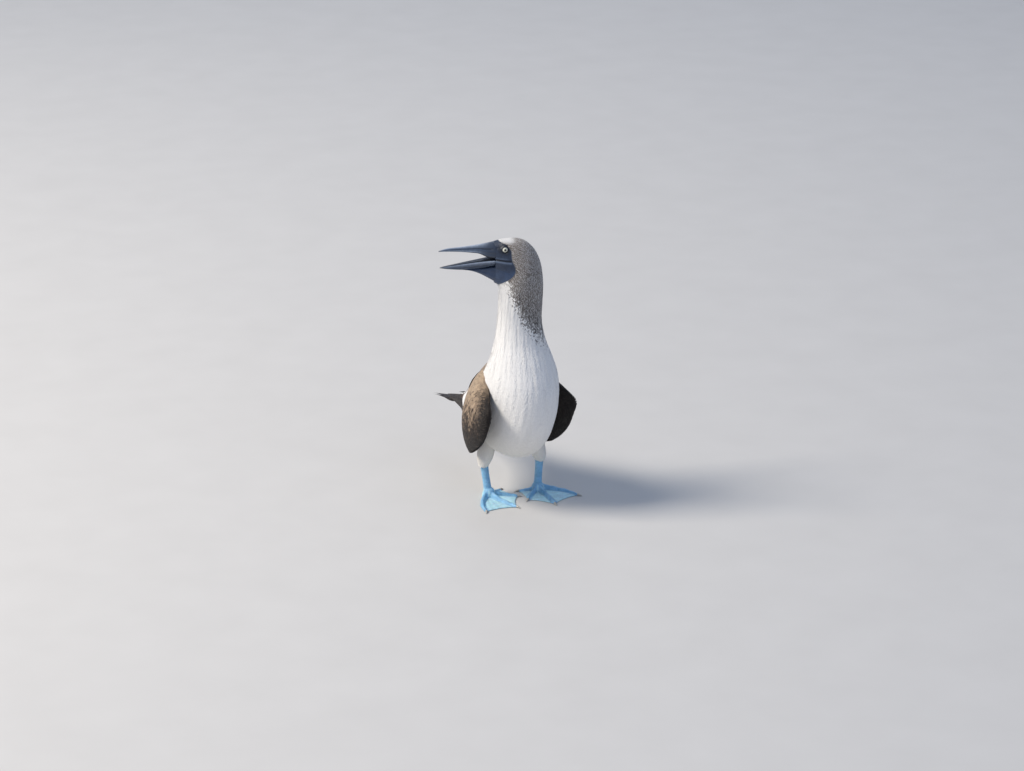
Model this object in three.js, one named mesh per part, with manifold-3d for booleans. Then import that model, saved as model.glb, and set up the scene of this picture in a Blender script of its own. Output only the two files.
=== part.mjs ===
// A blue footed booby, standing still at life size, with its head turned to its right and its bill open.
// Millimetres, +Z up. The bird faces -Y, so its own left side is +X. The floor is Z = 0.
import * as THREE from 'three';
import { mergeVertices } from 'three/addons/utils/BufferGeometryUtils.js';
import Module from 'manifold-3d';

const wasm = await Module();
wasm.setup();

// Driving dimensions
const GAP = 0.3;
const CLEARANCE = 0.8;
const LEAN = new THREE.Vector3(-7.7, -15.1, 6.2);
const HEAD_TURN = THREE.MathUtils.degToRad(105);
const EYE_LEVEL = new THREE.Vector3(-29.5, -19, 476.5);
const JAW_HINGE = { forward: 16, up: -75 };
const EYE = { radius: 7.4, side: 12.6, forward: 0, up: -0.5 };
const BILL_LENGTH = 99;
const LOWER_BILL_LENGTH = 97;
const WEB_THICKNESS = 2.4;
const FEATHER_HEM = 61;
const ANKLE_HEIGHT = 9;

// Lengths of the trunk's and the wing's middle lines, which turn a gap's width into a share of the line
const TRUNK_RUN = 480;
const WING_RUN = 390;
const TRUNK_SLICE = 0.021;

// The trunk and neck are slices between a belly line and a back line, from the tail up to the jaw.
const TRUNK = {
  bellyY: [188, 150, 108, 58, 8, -38, -78, -103, -113, -110, -93, -73, -64, -64, -66],
  bellyZ: [112, 104, 92, 81, 76, 82, 108, 147, 188, 228, 266, 302, 338, 370, 401.5],
  backY: [206, 194, 182, 168, 150, 128, 103, 74, 47, 30, 21, 16, 13.5, 12, 12],
  backZ: [121, 129, 136, 146, 158, 177, 202, 228, 249, 268, 288, 314, 343, 372, 401.5],
  halfWidth: [14, 26, 37, 46, 53, 58, 61, 62, 61.5, 59, 52, 43, 39, 38.8, 39],
};
const TRUNK_PARTS = {
  rump: [0, 0.2],
  trunk: [0.2, 0.47],
  breast: [0.47, 0.68],
  neck_lower: [0.68, 0.84],
  neck_upper: [0.84, 1],
};

// The head is a fan of slices turned about the jaw hinge, from the neck to the bill's root.
const HEAD = {
  inner: [9, 8.5, 8, 8, 8.5, 9, 10],
  outer: [87, 91.5, 95.5, 98, 97, 91, 86],
  halfWidth: [39.5, 39, 37, 33, 28.5, 24, 17.5],
};

// Bill lines run forward from the jaw hinge to the tip. Heights are above the eye's level.
const UPPER_BILL = {
  top: [10.8, 8.6, 6.8, 5.4, 4.4, 3.7, 2.8, -0.6],
  bottom: [-18.6, -15.6, -8.6, -6.2, -4.2, -3, -2.2, -2.2],
  halfWidth: [16, 12.6, 9.6, 7.4, 5.8, 4.6, 3.6, 1],
};
const LOWER_BILL = {
  top: [-19.1, -20, -21.3, -22.9, -24.8, -26.8, -28.8, -31],
  bottom: [-33, -35.5, -37.6, -38.2, -38, -36.8, -35, -32.4],
  halfWidth: [15.6, 12.2, 9.2, 7, 5.4, 4.2, 3.1, 0.9],
};
const THROAT = { reach: 40, bottom: [-65, -56, -47.5, -41.2], halfWidth: [15, 11, 7.6, 5] };

// A folded wing is a row of leaf shaped slices from its wrist back to its tip, with X outward.
const WING = {
  topX: [82, 62, 48, 38, 29, 25, 20, 16, 12, 8],
  topY: [-70, -26, 10, 45, 85, 120, 152, 184, 222, 268],
  topZ: [196, 219, 234, 227, 200, 167, 144, 131, 119, 106],
  bottomX: [85, 84, 81, 76, 60, 42, 27, 19, 14, 8.5],
  bottomY: [-73, -50, -12, 22, 62, 100, 140, 178, 220, 268],
  bottomZ: [168, 129, 96, 81, 90, 97, 106, 112, 109, 103],
  bulge: [2, 12, 21, 20, 12, 7, 4, 3, 2, 1],
  halfThickness: [5, 9, 10, 9, 6.5, 4.5, 3, 2.2, 1.5, 0.7],
};
const WING_PARTS = { wing: [0, 0.5], primaries: [0.5, 1] };

// The tail is a thin roof of pointed feathers that slopes down behind.
const TAIL = {
  root: 196,
  length: 131,
  rootHeight: 117,
  slope: THREE.MathUtils.degToRad(13),
  halfWidth: [13, 20, 24, 26, 24, 17, 8, 1.2],
  halfThickness: [4.5, 3.4, 2.6, 2, 1.6, 1.2, 0.9, 0.5],
  roof: 5,
};

// Each leg: where the foot's hub stands, the shank's top, and how far the middle toe turns inward.
const LEGS = {
  left: { hub: [44.1, -11.6], shank: [50, -8], toeTurn: 3, outward: 1 },
  right: { hub: [-48.6, 2.7], shank: [-54, 11], toeTurn: 16, outward: -1 },
};

// Radii up the feathered thigh and the bare shank, which are a little deeper than they are wide
const THIGH = { radius: [11.4, 14, 15, 16, 17, 19], deeper: 1.15, lean: [-17, 4], top: 134 };
const SHANK = { radius: [8.6, 7.2, 6.8, 6.8, 7.2, 8], deeper: 1.12 };

// Toes: length, turn from the middle toe, bow toward the outer side, half-width and height to the tip
const FRONT_TOE = { width: [7.5, 5, 4.2, 2.8], height: [15, 8, 5.6, 3.8] };
const TOES = {
  outer: { length: 79, turn: -45, bow: 9, ...FRONT_TOE },
  middle: { length: 77, turn: 0, bow: 2, ...FRONT_TOE },
  inner: { length: 54, turn: 43, bow: -2, ...FRONT_TOE },
  hind: { length: 36, turn: 100, bow: 0, width: [6, 4.4, 3.4, 2.2], height: [10, 6.5, 4.6, 3.2] },
};
const WEB = { heel: 6, reach: 0.985, hollow: 0.13 };
const CLAW = { length: 8, width: [2.1, 0.4], height: [3.4, 0.6], lift: [2, 0.4] };

const COLOURS = {
  white: 0xe8e6e2, streaked: 0x8f8478, brown: 0x5e4c3e, dark: 0x241f1c, skin: 0x4a5f7c,
  horn: 0x5f7692, blue: 0x6fb2dd, claw: 0xb9b4a6, iris: 0xe9e2b0,
};

const shades = Object.fromEntries(Object.entries(COLOURS).map(([name, color]) => [
  name, new THREE.MeshStandardMaterial({ color, roughness: 0.75, metalness: 0 }),
]));
const group = new THREE.Group();

// Smooth curve through evenly spaced values, with t from 0 at the first to 1 at the last.
function along(values, t) {
  const last = values.length - 1;
  const place = THREE.MathUtils.clamp(t, 0, 1) * last;
  const i = Math.min(Math.floor(place), last - 1);
  const f = place - i;
  const before = values[Math.max(i - 1, 0)];
  const after = values[Math.min(i + 2, last)];
  const [a, b] = [values[i], values[i + 1]];
  const slopeA = i > 0 ? (b - before) / 2 : b - a;
  const slopeB = i + 1 < last ? (after - a) / 2 : b - a;
  const bend = 3 * (b - a) - 2 * slopeA - slopeB;
  const turn = 2 * (a - b) + slopeA + slopeB;
  return a + f * (slopeA + f * (bend + f * turn));
}

// Welds a geometry's corners, keeps only places, and turns its faces outward.
function weld(geometry) {
  const bare = geometry.clone();
  bare.deleteAttribute('normal');
  bare.deleteAttribute('uv');
  const welded = mergeVertices(bare, 1e-4);
  const [a, b, c] = [new THREE.Vector3(), new THREE.Vector3(), new THREE.Vector3()];
  const index = welded.index.array;
  let volume = 0;
  for (let i = 0; i < index.length; i += 3) {
    a.fromBufferAttribute(welded.attributes.position, index[i]);
    b.fromBufferAttribute(welded.attributes.position, index[i + 1]);
    c.fromBufferAttribute(welded.attributes.position, index[i + 2]);
    volume += a.dot(b.cross(c));
  }
  if (volume < 0) {
    for (let i = 0; i < index.length; i += 3) [index[i], index[i + 1]] = [index[i + 1], index[i]];
  }
  return welded;
}

// A closed sleeve of slices: place(s, turn) gives the rim, and each end is closed at its rim's middle.
function sleeve(rows, around, place) {
  const geometry = new THREE.CylinderGeometry(1, 1, 1, around, rows);
  const { position } = geometry.attributes;
  for (let i = 0; i < position.count; i++) {
    const [x, y, z] = [position.getX(i), position.getY(i), position.getZ(i)];
    const s = THREE.MathUtils.clamp(y + 0.5, 0, 1);
    const point = new THREE.Vector3();
    if (Math.hypot(x, z) > 0.5) {
      point.copy(place(s, Math.atan2(z, x)));
    } else {
      for (let k = 0; k < around; k++) point.add(place(s, (k / around) * 2 * Math.PI));
      point.divideScalar(around);
    }
    position.setXYZ(i, point.x, point.y, point.z);
  }
  return weld(geometry);
}

function toManifold(geometry) {
  const welded = weld(geometry);
  return new wasm.Manifold(new wasm.Mesh({
    numProp: 3,
    vertProperties: new Float32Array(welded.attributes.position.array),
    triVerts: new Uint32Array(welded.index.array),
  }));
}

function toGeometry(manifold) {
  const mesh = manifold.getMesh();
  const geometry = new THREE.BufferGeometry();
  geometry.setAttribute('position', new THREE.BufferAttribute(mesh.vertProperties, 3));
  geometry.setIndex(new THREE.BufferAttribute(mesh.triVerts, 1));
  return geometry;
}

const join = (pieces) => toGeometry(pieces.map(toManifold).reduce((all, one) => all.add(one)));

// What the tools leave of a piece, without the loose chips that a thin edge can break into
function cut(piece, tools) {
  const rest = tools.map(toManifold).reduce((left, tool) => left.subtract(tool), toManifold(piece));
  return toGeometry(rest.decompose().reduce((a, b) => (a.volume() > b.volume() ? a : b)));
}

function addNode(name, geometry, shade) {
  const mesh = new THREE.Mesh(geometry, shades[shade]);
  mesh.name = name;
  geometry.computeVertexNormals();
  group.add(mesh);
  return mesh;
}

// Trunk and neck: at each slice the rim is an ellipse from the belly line to the back line.
function trunkRim(t, turn, grow = 0) {
  const belly = new THREE.Vector3(0, along(TRUNK.bellyY, t), along(TRUNK.bellyZ, t));
  const back = new THREE.Vector3(0, along(TRUNK.backY, t), along(TRUNK.backZ, t));
  const depth = back.clone().sub(belly).multiplyScalar(0.5);
  depth.setLength(depth.length() + grow);
  const middle = belly.add(back).multiplyScalar(0.5);
  const side = (along(TRUNK.halfWidth, t) + grow) * Math.sin(turn);
  return middle.addScaledVector(depth, Math.cos(turn)).add(new THREE.Vector3(side, 0, 0)).add(LEAN);
}

function trunkSleeve([from, to], around, grow = 0) {
  const rows = Math.ceil((to - from) / TRUNK_SLICE);
  return sleeve(rows, around, (s, turn) => trunkRim(from + s * (to - from), turn, grow));
}

for (const [name, [from, to]] of Object.entries(TRUNK_PARTS)) {
  const ends = [from, to - GAP / TRUNK_RUN];
  addNode(name, trunkSleeve(ends, 20), name.startsWith('neck') ? 'streaked' : 'white');
}

// Head frame: forward along the bill, up, and to the bird's own left
const forward = new THREE.Vector3(0, -1, 0).applyAxisAngle(new THREE.Vector3(0, 0, 1), -HEAD_TURN);
const up = new THREE.Vector3(0, 0, 1);
const leftward = up.clone().cross(forward);
function headPoint(ahead, high, left) {
  return EYE_LEVEL.clone().add(LEAN)
    .addScaledVector(forward, ahead)
    .addScaledVector(up, high)
    .addScaledVector(leftward, left);
}

function headRim(s, turn) {
  const lift = (s * Math.PI) / 2;
  const inner = along(HEAD.inner, s);
  const outer = along(HEAD.outer, s);
  const reach = (inner + outer) / 2 + ((outer - inner) / 2) * Math.cos(turn);
  const left = along(HEAD.halfWidth, s) * Math.sin(turn);
  const ahead = JAW_HINGE.forward - reach * Math.cos(lift);
  return headPoint(ahead, JAW_HINGE.up + reach * Math.sin(lift), left);
}

// Eyes are balls that sit in sockets cut from the head.
function eyeBall(side, grow) {
  const ball = new THREE.SphereGeometry(EYE.radius + grow, 12, 8);
  const centre = headPoint(EYE.forward, EYE.up, side * EYE.side);
  return ball.translate(centre.x, centre.y, centre.z);
}

addNode('head', cut(sleeve(14, 20, headRim), [eyeBall(1, GAP), eyeBall(-1, GAP)]), 'streaked');
addNode('eye_left', weld(eyeBall(1, 0)), 'iris');
addNode('eye_right', weld(eyeBall(-1, 0)), 'iris');

// Each half of the bill is rounded on its outer side and nearly flat on the side that bites.
function billRim(lines, flatSide, start, length, s, turn) {
  const [top, bottom] = [along(lines.top, s), along(lines.bottom, s)];
  const height = Math.cos(turn);
  const flat = Math.sign(height) === flatSide ? 0.45 : 1;
  const meet = flatSide > 0 ? top - (top - bottom) * 0.2 : bottom + (top - bottom) * 0.2;
  const rise = height > 0 ? (top - meet) * height : (meet - bottom) * height;
  const left = along(lines.halfWidth, s) * Math.sign(Math.sin(turn)) * Math.abs(Math.sin(turn)) ** flat;
  return headPoint(start + s * length, meet + rise, left);
}

const billStart = JAW_HINGE.forward + GAP;
const upperRim = (s, turn) => billRim(UPPER_BILL, -1, billStart, BILL_LENGTH, s, turn);
const lowerRim = (s, turn) => billRim(LOWER_BILL, 1, billStart, LOWER_BILL_LENGTH, s, turn);
addNode('upper_bill', sleeve(14, 10, upperRim), 'horn');
addNode('lower_bill', sleeve(14, 10, lowerRim), 'horn');

// The bare throat hangs in the angle between the lower bill and the neck.
const throatShare = THROAT.reach / LOWER_BILL_LENGTH;
const throatLines = {
  top: THROAT.bottom.map((_, i) => along(LOWER_BILL.bottom, (i / 3) * throatShare) - GAP),
  bottom: THROAT.bottom,
  halfWidth: THROAT.halfWidth,
};
const throatRim = (s, turn) => billRim(throatLines, 1, billStart, THROAT.reach, s, turn);
addNode('throat_skin', cut(sleeve(6, 10, throatRim), [sleeve(14, 10, lowerRim)]), 'skin');

// Tail: from the rump's end, along the slope
function tailRim(s, turn, grow = 0) {
  const run = s * TAIL.length;
  const across = (along(TAIL.halfWidth, s) + grow) * Math.cos(turn);
  const sag = TAIL.roof * (across / TAIL.halfWidth[3]) ** 2;
  const y = TAIL.root + run * Math.cos(TAIL.slope);
  const rise = (along(TAIL.halfThickness, s) + grow) * Math.sin(turn);
  const z = TAIL.rootHeight - run * Math.sin(TAIL.slope) - sag + rise;
  return new THREE.Vector3(across, y, z).add(LEAN);
}

// Wings: leaf shaped slices between a top edge and a bottom edge, bulging outward, cut clear of the trunk.
function wingRim(outward, t, turn) {
  const top = new THREE.Vector3(along(WING.topX, t), along(WING.topY, t), along(WING.topZ, t));
  const bottom = new THREE.Vector3(along(WING.bottomX, t), along(WING.bottomY, t), along(WING.bottomZ, t));
  const rise = top.clone().sub(bottom).multiplyScalar(0.5);
  const middle = top.add(bottom).multiplyScalar(0.5);
  const back = new THREE.Vector3(0, 1, -0.3);
  const normal = back.cross(rise).normalize();
  if (normal.x < 0) normal.negate();
  const high = Math.cos(turn);
  const out = along(WING.bulge, t) * (1 - high * high) + along(WING.halfThickness, t) * Math.sin(turn);
  const point = middle.addScaledVector(rise, high).addScaledVector(normal, out);
  return point.setX(point.x * outward).add(LEAN);
}

const trunkTool = trunkSleeve([0, 0.9], 20, CLEARANCE);
const tailTool = sleeve(12, 12, (s, turn) => tailRim(s, turn, CLEARANCE));
for (const [side, leg] of Object.entries(LEGS)) {
  for (const [name, [from, to]] of Object.entries(WING_PARTS)) {
    const start = from + (from > 0 ? GAP / WING_RUN : 0);
    const rim = (s, turn) => wingRim(leg.outward, start + s * (to - start), turn);
    const leaf = cut(sleeve(10, 14, rim), [trunkTool, tailTool]);
    addNode(`${name}_${side}`, leaf, name === 'wing' ? 'brown' : 'dark');
  }
}

addNode('tail', cut(sleeve(12, 12, (s, turn) => tailRim(s, turn)), [trunkTool]), 'dark');

// Legs: feathered thigh, bare shank, webbed foot with four toes, four claws
function tube(rows, around, centreAt, radiusAt) {
  return sleeve(rows, around, (s, turn) => {
    const [rx, ry] = radiusAt(s);
    return centreAt(s).add(new THREE.Vector3(rx * Math.cos(turn), ry * Math.sin(turn), 0));
  });
}

function thigh(leg) {
  const [x, y] = leg.shank;
  const low = new THREE.Vector3(x, y, FEATHER_HEM);
  const high = new THREE.Vector3(x + leg.outward * THIGH.lean[0], y + THIGH.lean[1], THIGH.top);
  const radiusAt = (s) => [along(THIGH.radius, s), along(THIGH.radius, s) * THIGH.deeper];
  return tube(6, 12, (s) => low.clone().lerp(high, s), radiusAt);
}

function shank(leg) {
  const low = new THREE.Vector3(leg.hub[0], leg.hub[1], ANKLE_HEIGHT);
  const high = new THREE.Vector3(leg.shank[0], leg.shank[1], FEATHER_HEM - GAP);
  const radiusAt = (s) => [along(SHANK.radius, s), along(SHANK.radius, s) * SHANK.deeper];
  return tube(6, 10, (s) => low.clone().lerp(high, s), radiusAt);
}

// Direction of a toe on the floor: zero straight ahead, positive toward the other foot
function toeDirection(leg, toe) {
  const angle = THREE.MathUtils.degToRad(leg.toeTurn + TOES[toe].turn);
  return new THREE.Vector3(-leg.outward * Math.sin(angle), -Math.cos(angle), 0);
}

// A point on a toe's line, which bows toward the outer side of the foot, and the way across it
function toePoint(leg, toe, share) {
  const direction = toeDirection(leg, toe);
  const outside = new THREE.Vector3(-direction.y, direction.x, 0).multiplyScalar(leg.outward);
  const bow = TOES[toe].bow * 4 * share * (1 - share);
  return new THREE.Vector3(leg.hub[0], leg.hub[1], 0)
    .addScaledVector(direction, share * TOES[toe].length)
    .addScaledVector(outside, bow);
}

// A toe lies on the floor: an arched back over a flat sole
function toePiece(leg, toe) {
  const direction = toeDirection(leg, toe);
  const across = new THREE.Vector3(-direction.y, direction.x, 0);
  const { width, height } = TOES[toe];
  return sleeve(6, 8, (s, turn) => toePoint(leg, toe, s)
    .addScaledVector(across, along(width, s) * Math.cos(turn))
    .setZ(Math.max(0, along(height, s) * Math.sin(turn))));
}

// The web follows the outer toe's bow, and its edge curves in between neighbouring toe tips
function web(leg) {
  const flat = (point) => new THREE.Vector2(point.x, point.y);
  const hub = new THREE.Vector2(leg.hub[0], leg.hub[1]);
  const heel = toeDirection(leg, 'middle').multiplyScalar(-WEB.heel);
  const outline = new THREE.Shape();
  outline.moveTo(hub.x + heel.x, hub.y + heel.y);
  for (const share of [0.25, 0.5, 0.75, 1]) {
    const edge = flat(toePoint(leg, 'outer', share * WEB.reach));
    outline.lineTo(edge.x, edge.y);
  }
  let last = flat(toePoint(leg, 'outer', WEB.reach));
  for (const toe of ['middle', 'inner', 'hind']) {
    const next = flat(toePoint(leg, toe, WEB.reach));
    const between = last.clone().lerp(next, 0.5).lerp(hub, WEB.hollow);
    outline.quadraticCurveTo(between.x, between.y, next.x, next.y);
    last = next;
  }
  outline.closePath();
  const sheet = { depth: WEB_THICKNESS, bevelEnabled: false, curveSegments: 5 };
  return new THREE.ExtrudeGeometry(outline, sheet);
}

// A claw carries on from its toe's tip and bends down to the floor
function claw(leg, toe) {
  const direction = toeDirection(leg, toe);
  const across = new THREE.Vector3(-direction.y, direction.x, 0);
  return sleeve(4, 6, (s, turn) => toePoint(leg, toe, 1)
    .addScaledVector(direction, GAP + s * CLAW.length)
    .addScaledVector(across, along(CLAW.width, s) * Math.cos(turn))
    .setZ(along(CLAW.lift, s * s) + (along(CLAW.height, s) / 2) * (1 + Math.sin(turn))));
}

// What the shank's foot clears in the webbed foot, so that the two meet without touching
function ankleSocket(leg) {
  const widest = 12;
  const rise = 20;
  const centreAt = (s) => new THREE.Vector3(leg.hub[0], leg.hub[1], ANKLE_HEIGHT - GAP + s * rise);
  return tube(2, 12, centreAt, () => [widest, widest]);
}

for (const [side, leg] of Object.entries(LEGS)) {
  const toes = Object.keys(TOES);
  const foot = join([web(leg), ...toes.map((toe) => toePiece(leg, toe))]);
  addNode(`thigh_${side}`, cut(thigh(leg), [trunkTool]), 'white');
  addNode(`shank_${side}`, shank(leg), 'blue');
  addNode(`foot_${side}`, cut(foot, [ankleSocket(leg)]), 'blue');
  for (const toe of toes) addNode(`claw_${side}_${toe}`, claw(leg, toe), 'claw');
}

// The origin is on the floor under the middle of the whole bird.
const middle = new THREE.Box3().setFromObject(group).getCenter(new THREE.Vector3());
group.position.set(-middle.x, -middle.y, 0);

export default group;
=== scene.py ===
# %% [markdown]
# # A blue footed booby, life size
# The solids of the bird come first, as a frame that is never moved. Everything after that is its surface:
# one skin under the whole coat, about seventy-five thousand small feathers laid on it, the long quills of
# wings and tail, the horn of bill and claws, the eyes, and the scaly blue feet.

# %% The frame
import bpy
import numpy as np
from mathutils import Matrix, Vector


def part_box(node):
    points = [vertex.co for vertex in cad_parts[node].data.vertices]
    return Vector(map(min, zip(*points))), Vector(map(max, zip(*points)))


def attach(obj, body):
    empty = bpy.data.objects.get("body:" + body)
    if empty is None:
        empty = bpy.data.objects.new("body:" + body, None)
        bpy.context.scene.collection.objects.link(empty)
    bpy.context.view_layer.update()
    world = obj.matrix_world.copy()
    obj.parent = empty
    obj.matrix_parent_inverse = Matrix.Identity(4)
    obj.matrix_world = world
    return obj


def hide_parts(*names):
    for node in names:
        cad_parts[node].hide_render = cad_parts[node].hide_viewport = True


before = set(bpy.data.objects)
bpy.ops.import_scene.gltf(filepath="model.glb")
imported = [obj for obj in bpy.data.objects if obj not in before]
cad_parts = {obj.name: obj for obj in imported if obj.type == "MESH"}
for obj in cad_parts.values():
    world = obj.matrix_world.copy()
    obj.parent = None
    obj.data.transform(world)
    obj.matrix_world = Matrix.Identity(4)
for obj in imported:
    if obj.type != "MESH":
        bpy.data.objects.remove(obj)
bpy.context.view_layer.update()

# %% [markdown]
# ## Camera, floor and light
# The camera stands six metres away, a little above the bird and somewhat to its right, and its long lens
# gives the same gentle perspective as in the photo. The light came from the left, so the main light is a
# large soft panel on that side, and a wide weak panel with a bright room fills the rest.

# %% Camera, floor and light
AIM = Vector((0.0515, -0.0302, 0.1819))
AZIMUTH = np.radians(-27)
ELEVATION = np.radians(20)
DISTANCE = 6.0
SENSOR = 36.0
FOCAL_PIXELS = 3300
PICTURE_WIDTH = 1024
LIT_MIDDLE = Vector((0, 0, 0.25))


def linear(colour):
    """An sRGB hex colour as linear red, green, blue and 1: each channel undone by the standard's power
    curve."""
    channels = np.array([int(colour[i:i + 2], 16) / 255 for i in (0, 2, 4)])
    straight = np.where(channels <= 0.04045, channels / 12.92, ((channels + 0.055) / 1.055) ** 2.4)
    return (*straight.tolist(), 1.0)


def tint(colour):
    """The linear red, green and blue of a hex colour as an array."""
    return np.array(linear(colour))[:3]


def direction(azimuth, elevation):
    """The way towards something seen at an azimuth and elevation: azimuth 0 is the bird's front, -Y."""
    flat = np.cos(elevation)
    return Vector((np.sin(azimuth) * flat, -np.cos(azimuth) * flat, np.sin(elevation)))


camera = bpy.data.objects.new("camera", bpy.data.cameras.new("camera"))
bpy.context.scene.collection.objects.link(camera)
camera.data.sensor_width = SENSOR
camera.data.lens = SENSOR * FOCAL_PIXELS / PICTURE_WIDTH
back = direction(AZIMUTH, ELEVATION)
camera.location = AIM + back * DISTANCE
camera.rotation_euler = (-back).to_track_quat("-Z", "Y").to_euler()
bpy.context.scene.camera = camera
print("lens of", round(camera.data.lens, 1), "mm")


def add_panel(name, azimuth, elevation, distance, size, watts, colour):
    """A square light panel at an angle in degrees seen from the bird's middle, turned to face it."""
    panel = bpy.data.objects.new(name, bpy.data.lights.new(name, "AREA"))
    panel.data.size = size
    panel.data.energy = watts
    panel.data.color = tint(colour)
    towards = direction(np.radians(azimuth), np.radians(elevation))
    panel.location = LIT_MIDDLE + towards * distance
    panel.rotation_euler = (-towards).to_track_quat("-Z", "Y").to_euler()
    bpy.context.scene.collection.objects.link(panel)


add_panel("main_light", azimuth=-108, elevation=44, distance=7.0, size=2.6, watts=540, colour="fff7ec")
add_panel("front_fill", azimuth=12, elevation=30, distance=6.0, size=4.0, watts=34, colour="d3e2ff")
add_panel("rear_fill", azimuth=150, elevation=45, distance=6.0, size=3.0, watts=40, colour="eef4ff")
bpy.context.scene.view_settings.view_transform = "Standard"

# %% [markdown]
# ## One way to add a node
# A material is a small tree of nodes. One helper adds a node, sets its settings, and fills each input with
# a plain value or a link from an earlier node. It hands back the output socket, so that trees read from the
# inside out. Every material ends alike, so one more function leads colour, roughness and bump into its
# surface.

# %% Nodes, room and floor
def add(tree, kind, inputs=None, out=0, **settings):
    """Adds a node. Settings become its properties; inputs maps a socket to a value or to an output to
    link."""
    made = tree.nodes.new("ShaderNode" + kind)
    for key, value in settings.items():
        setattr(made, key, value)
    for key, value in (inputs or {}).items():
        if isinstance(value, bpy.types.NodeSocket):
            tree.links.new(value, made.inputs[key])
        else:
            made.inputs[key].default_value = value
    return made.outputs[out]


def new_material(name, **constants):
    """A material with a Principled surface whose own sockets take the given constants."""
    material = bpy.data.materials.new(name)
    material.use_nodes = True
    surface = material.node_tree.nodes["Principled BSDF"]
    for key, value in constants.items():
        surface.inputs[key.replace("_", " ")].default_value = value
    return material, material.node_tree, surface


def dress(tree, surface, colour, change, roughness, height, strength, depth):
    """Leads the colour, times a change of brightness, into the surface, and also a roughness and a bump
    whose height stands for a depth in metres. None leaves the change or the roughness out."""
    if change is not None:
        colour = add(tree, "Mix", {0: 1.0, 6: colour, 7: change}, 2, data_type="RGBA", blend_type="MULTIPLY")
    bump = add(tree, "Bump", {"Height": height, "Strength": strength, "Distance": depth})
    for socket, value in (("Base Color", colour), ("Roughness", roughness), ("Normal", bump)):
        if value is not None:
            tree.links.new(value, surface.inputs[socket])


room = bpy.data.worlds.new("room")
room.use_nodes = True
for key, value in (("Color", linear("c3d5f6")), ("Strength", 0.47)):
    room.node_tree.nodes["Background"].inputs[key].default_value = value
bpy.context.scene.world = room

FLOOR_HALF = 12.0
floor_mesh = bpy.data.meshes.new("floor")
corners = [(x * FLOOR_HALF, y * FLOOR_HALF, 0) for x, y in ((-1, -1), (1, -1), (1, 1), (-1, 1))]
floor_mesh.from_pydata(corners, [], [(0, 1, 2, 3)])
floor = bpy.data.objects.new("floor", floor_mesh)
bpy.context.scene.collection.objects.link(floor)
paper, tree, surface = new_material("pale_studio_floor", Roughness=0.9)
grain = add(tree, "TexNoise", {"Vector": add(tree, "TexCoord", out=3), "Scale": 9.0})
tones = {0: grain, 6: linear("c9c7c3"), 7: linear("d0ceca")}
tree.links.new(add(tree, "Mix", tones, 2, data_type="RGBA"), surface.inputs["Base Color"])
floor_mesh.materials.append(paper)

# %% [markdown]
# ## The bird's measure
# The solids were shaped by a few smooth curves: the belly and back lines, the half widths, the fan of
# slices that carries the neck into the head. The coat lies on nearly that shape, so the same curves are
# written here again, in millimetres from a point on the floor between the feet. As the photo asks, the rump
# is slimmer than its solid, the crown's rear a little fuller, and the neck's top moves a millimetre to meet
# the head. `along` is the smooth curve through evenly spaced values, and everything else is built on it.

# %% Smooth curves, trunk and head
MM = 0.001
FLOOR_POINT = np.array([23.029, -89.982, 0.0])
LEAN = np.array([-7.7, -15.1, 6.2])
BELLY_Y = [188, 150, 108, 58, 8, -38, -78, -103, -113, -110, -93, -73, -64, -64, -66]
BELLY_Z = [112, 104, 92, 81, 76, 82, 108, 147, 188, 228, 266, 302, 338, 370, 401.5]
BACK_Y = [206, 194, 182, 168, 150, 128, 103, 74, 47, 30, 21, 16, 13, 10.8, 12]
BACK_Z = [121, 129, 136, 146, 158, 177, 202, 228, 249, 268, 288, 314, 343, 372, 401.5]
HALF_WIDTH = [12, 17.5, 24.5, 35.5, 48, 57, 61, 62, 61.5, 59, 52, 43, 39, 38.8, 39]
HEAD_TURN = np.radians(105)
EYE_LEVEL = np.array([-29.5, -19, 476.5]) + LEAN
EYE_RADIUS = 7.4
EYE_SIDE = 12.6
EYE_HIGH = -0.5
JAW_FORWARD = 16
JAW_UP = -75
HEAD_INNER = [9, 8.5, 8, 8, 8.5, 9, 10]
HEAD_OUTER = [87, 89, 94, 99, 99.5, 92.6, 86]
HEAD_HALF = [39.5, 39, 37, 33, 28.5, 24, 17.5]
HEAD_SPAN = 0.29
NECK_SHIFT = np.array([1.41, -0.28, 0.0])
UP = np.array([0.0, 0.0, 1.0])
FORWARD = np.array([-np.sin(HEAD_TURN), -np.cos(HEAD_TURN), 0.0])
LEFTWARD = np.cross(UP, FORWARD)


def along(values, t):
    """Cubic through evenly spaced values whose slopes are those of the neighbours; straight beyond its
    ends."""
    values = np.asarray(values, float)
    t = np.asarray(t, float)
    last = len(values) - 1
    inside = np.clip(t, 0, 1)
    i = np.minimum(np.floor(inside * last).astype(int), last - 1)
    f = inside * last - i
    a, b = values[i], values[i + 1]
    slope_a = np.where(i == 0, b - a, (b - values[np.maximum(i - 1, 0)]) / 2)
    slope_b = np.where(i == last - 1, b - a, (values[np.minimum(i + 2, last)] - a) / 2)
    bend = 3 * (b - a) - 2 * slope_a - slope_b + f * (2 * (a - b) + slope_a + slope_b)
    end_slope = np.where(t < 0, values[1] - values[0], values[-1] - values[-2])
    return a + f * (slope_a + f * bend) + (t - inside) * last * end_slope


def points(x, y, z):
    """Three arrays, or numbers, as one array of points."""
    return np.stack(np.broadcast_arrays(x, y, z), axis=-1).astype(float)


def unit(vectors):
    """Each vector divided by its length."""
    return vectors / np.maximum(np.linalg.norm(vectors, axis=-1, keepdims=True), 1e-9)


def ramp(value, low, high):
    """0 below low, 1 above high, and an even S curve in between."""
    x = np.clip((np.asarray(value, float) - low) / (high - low), 0, 1)
    return x * x * (3 - 2 * x)


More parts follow.
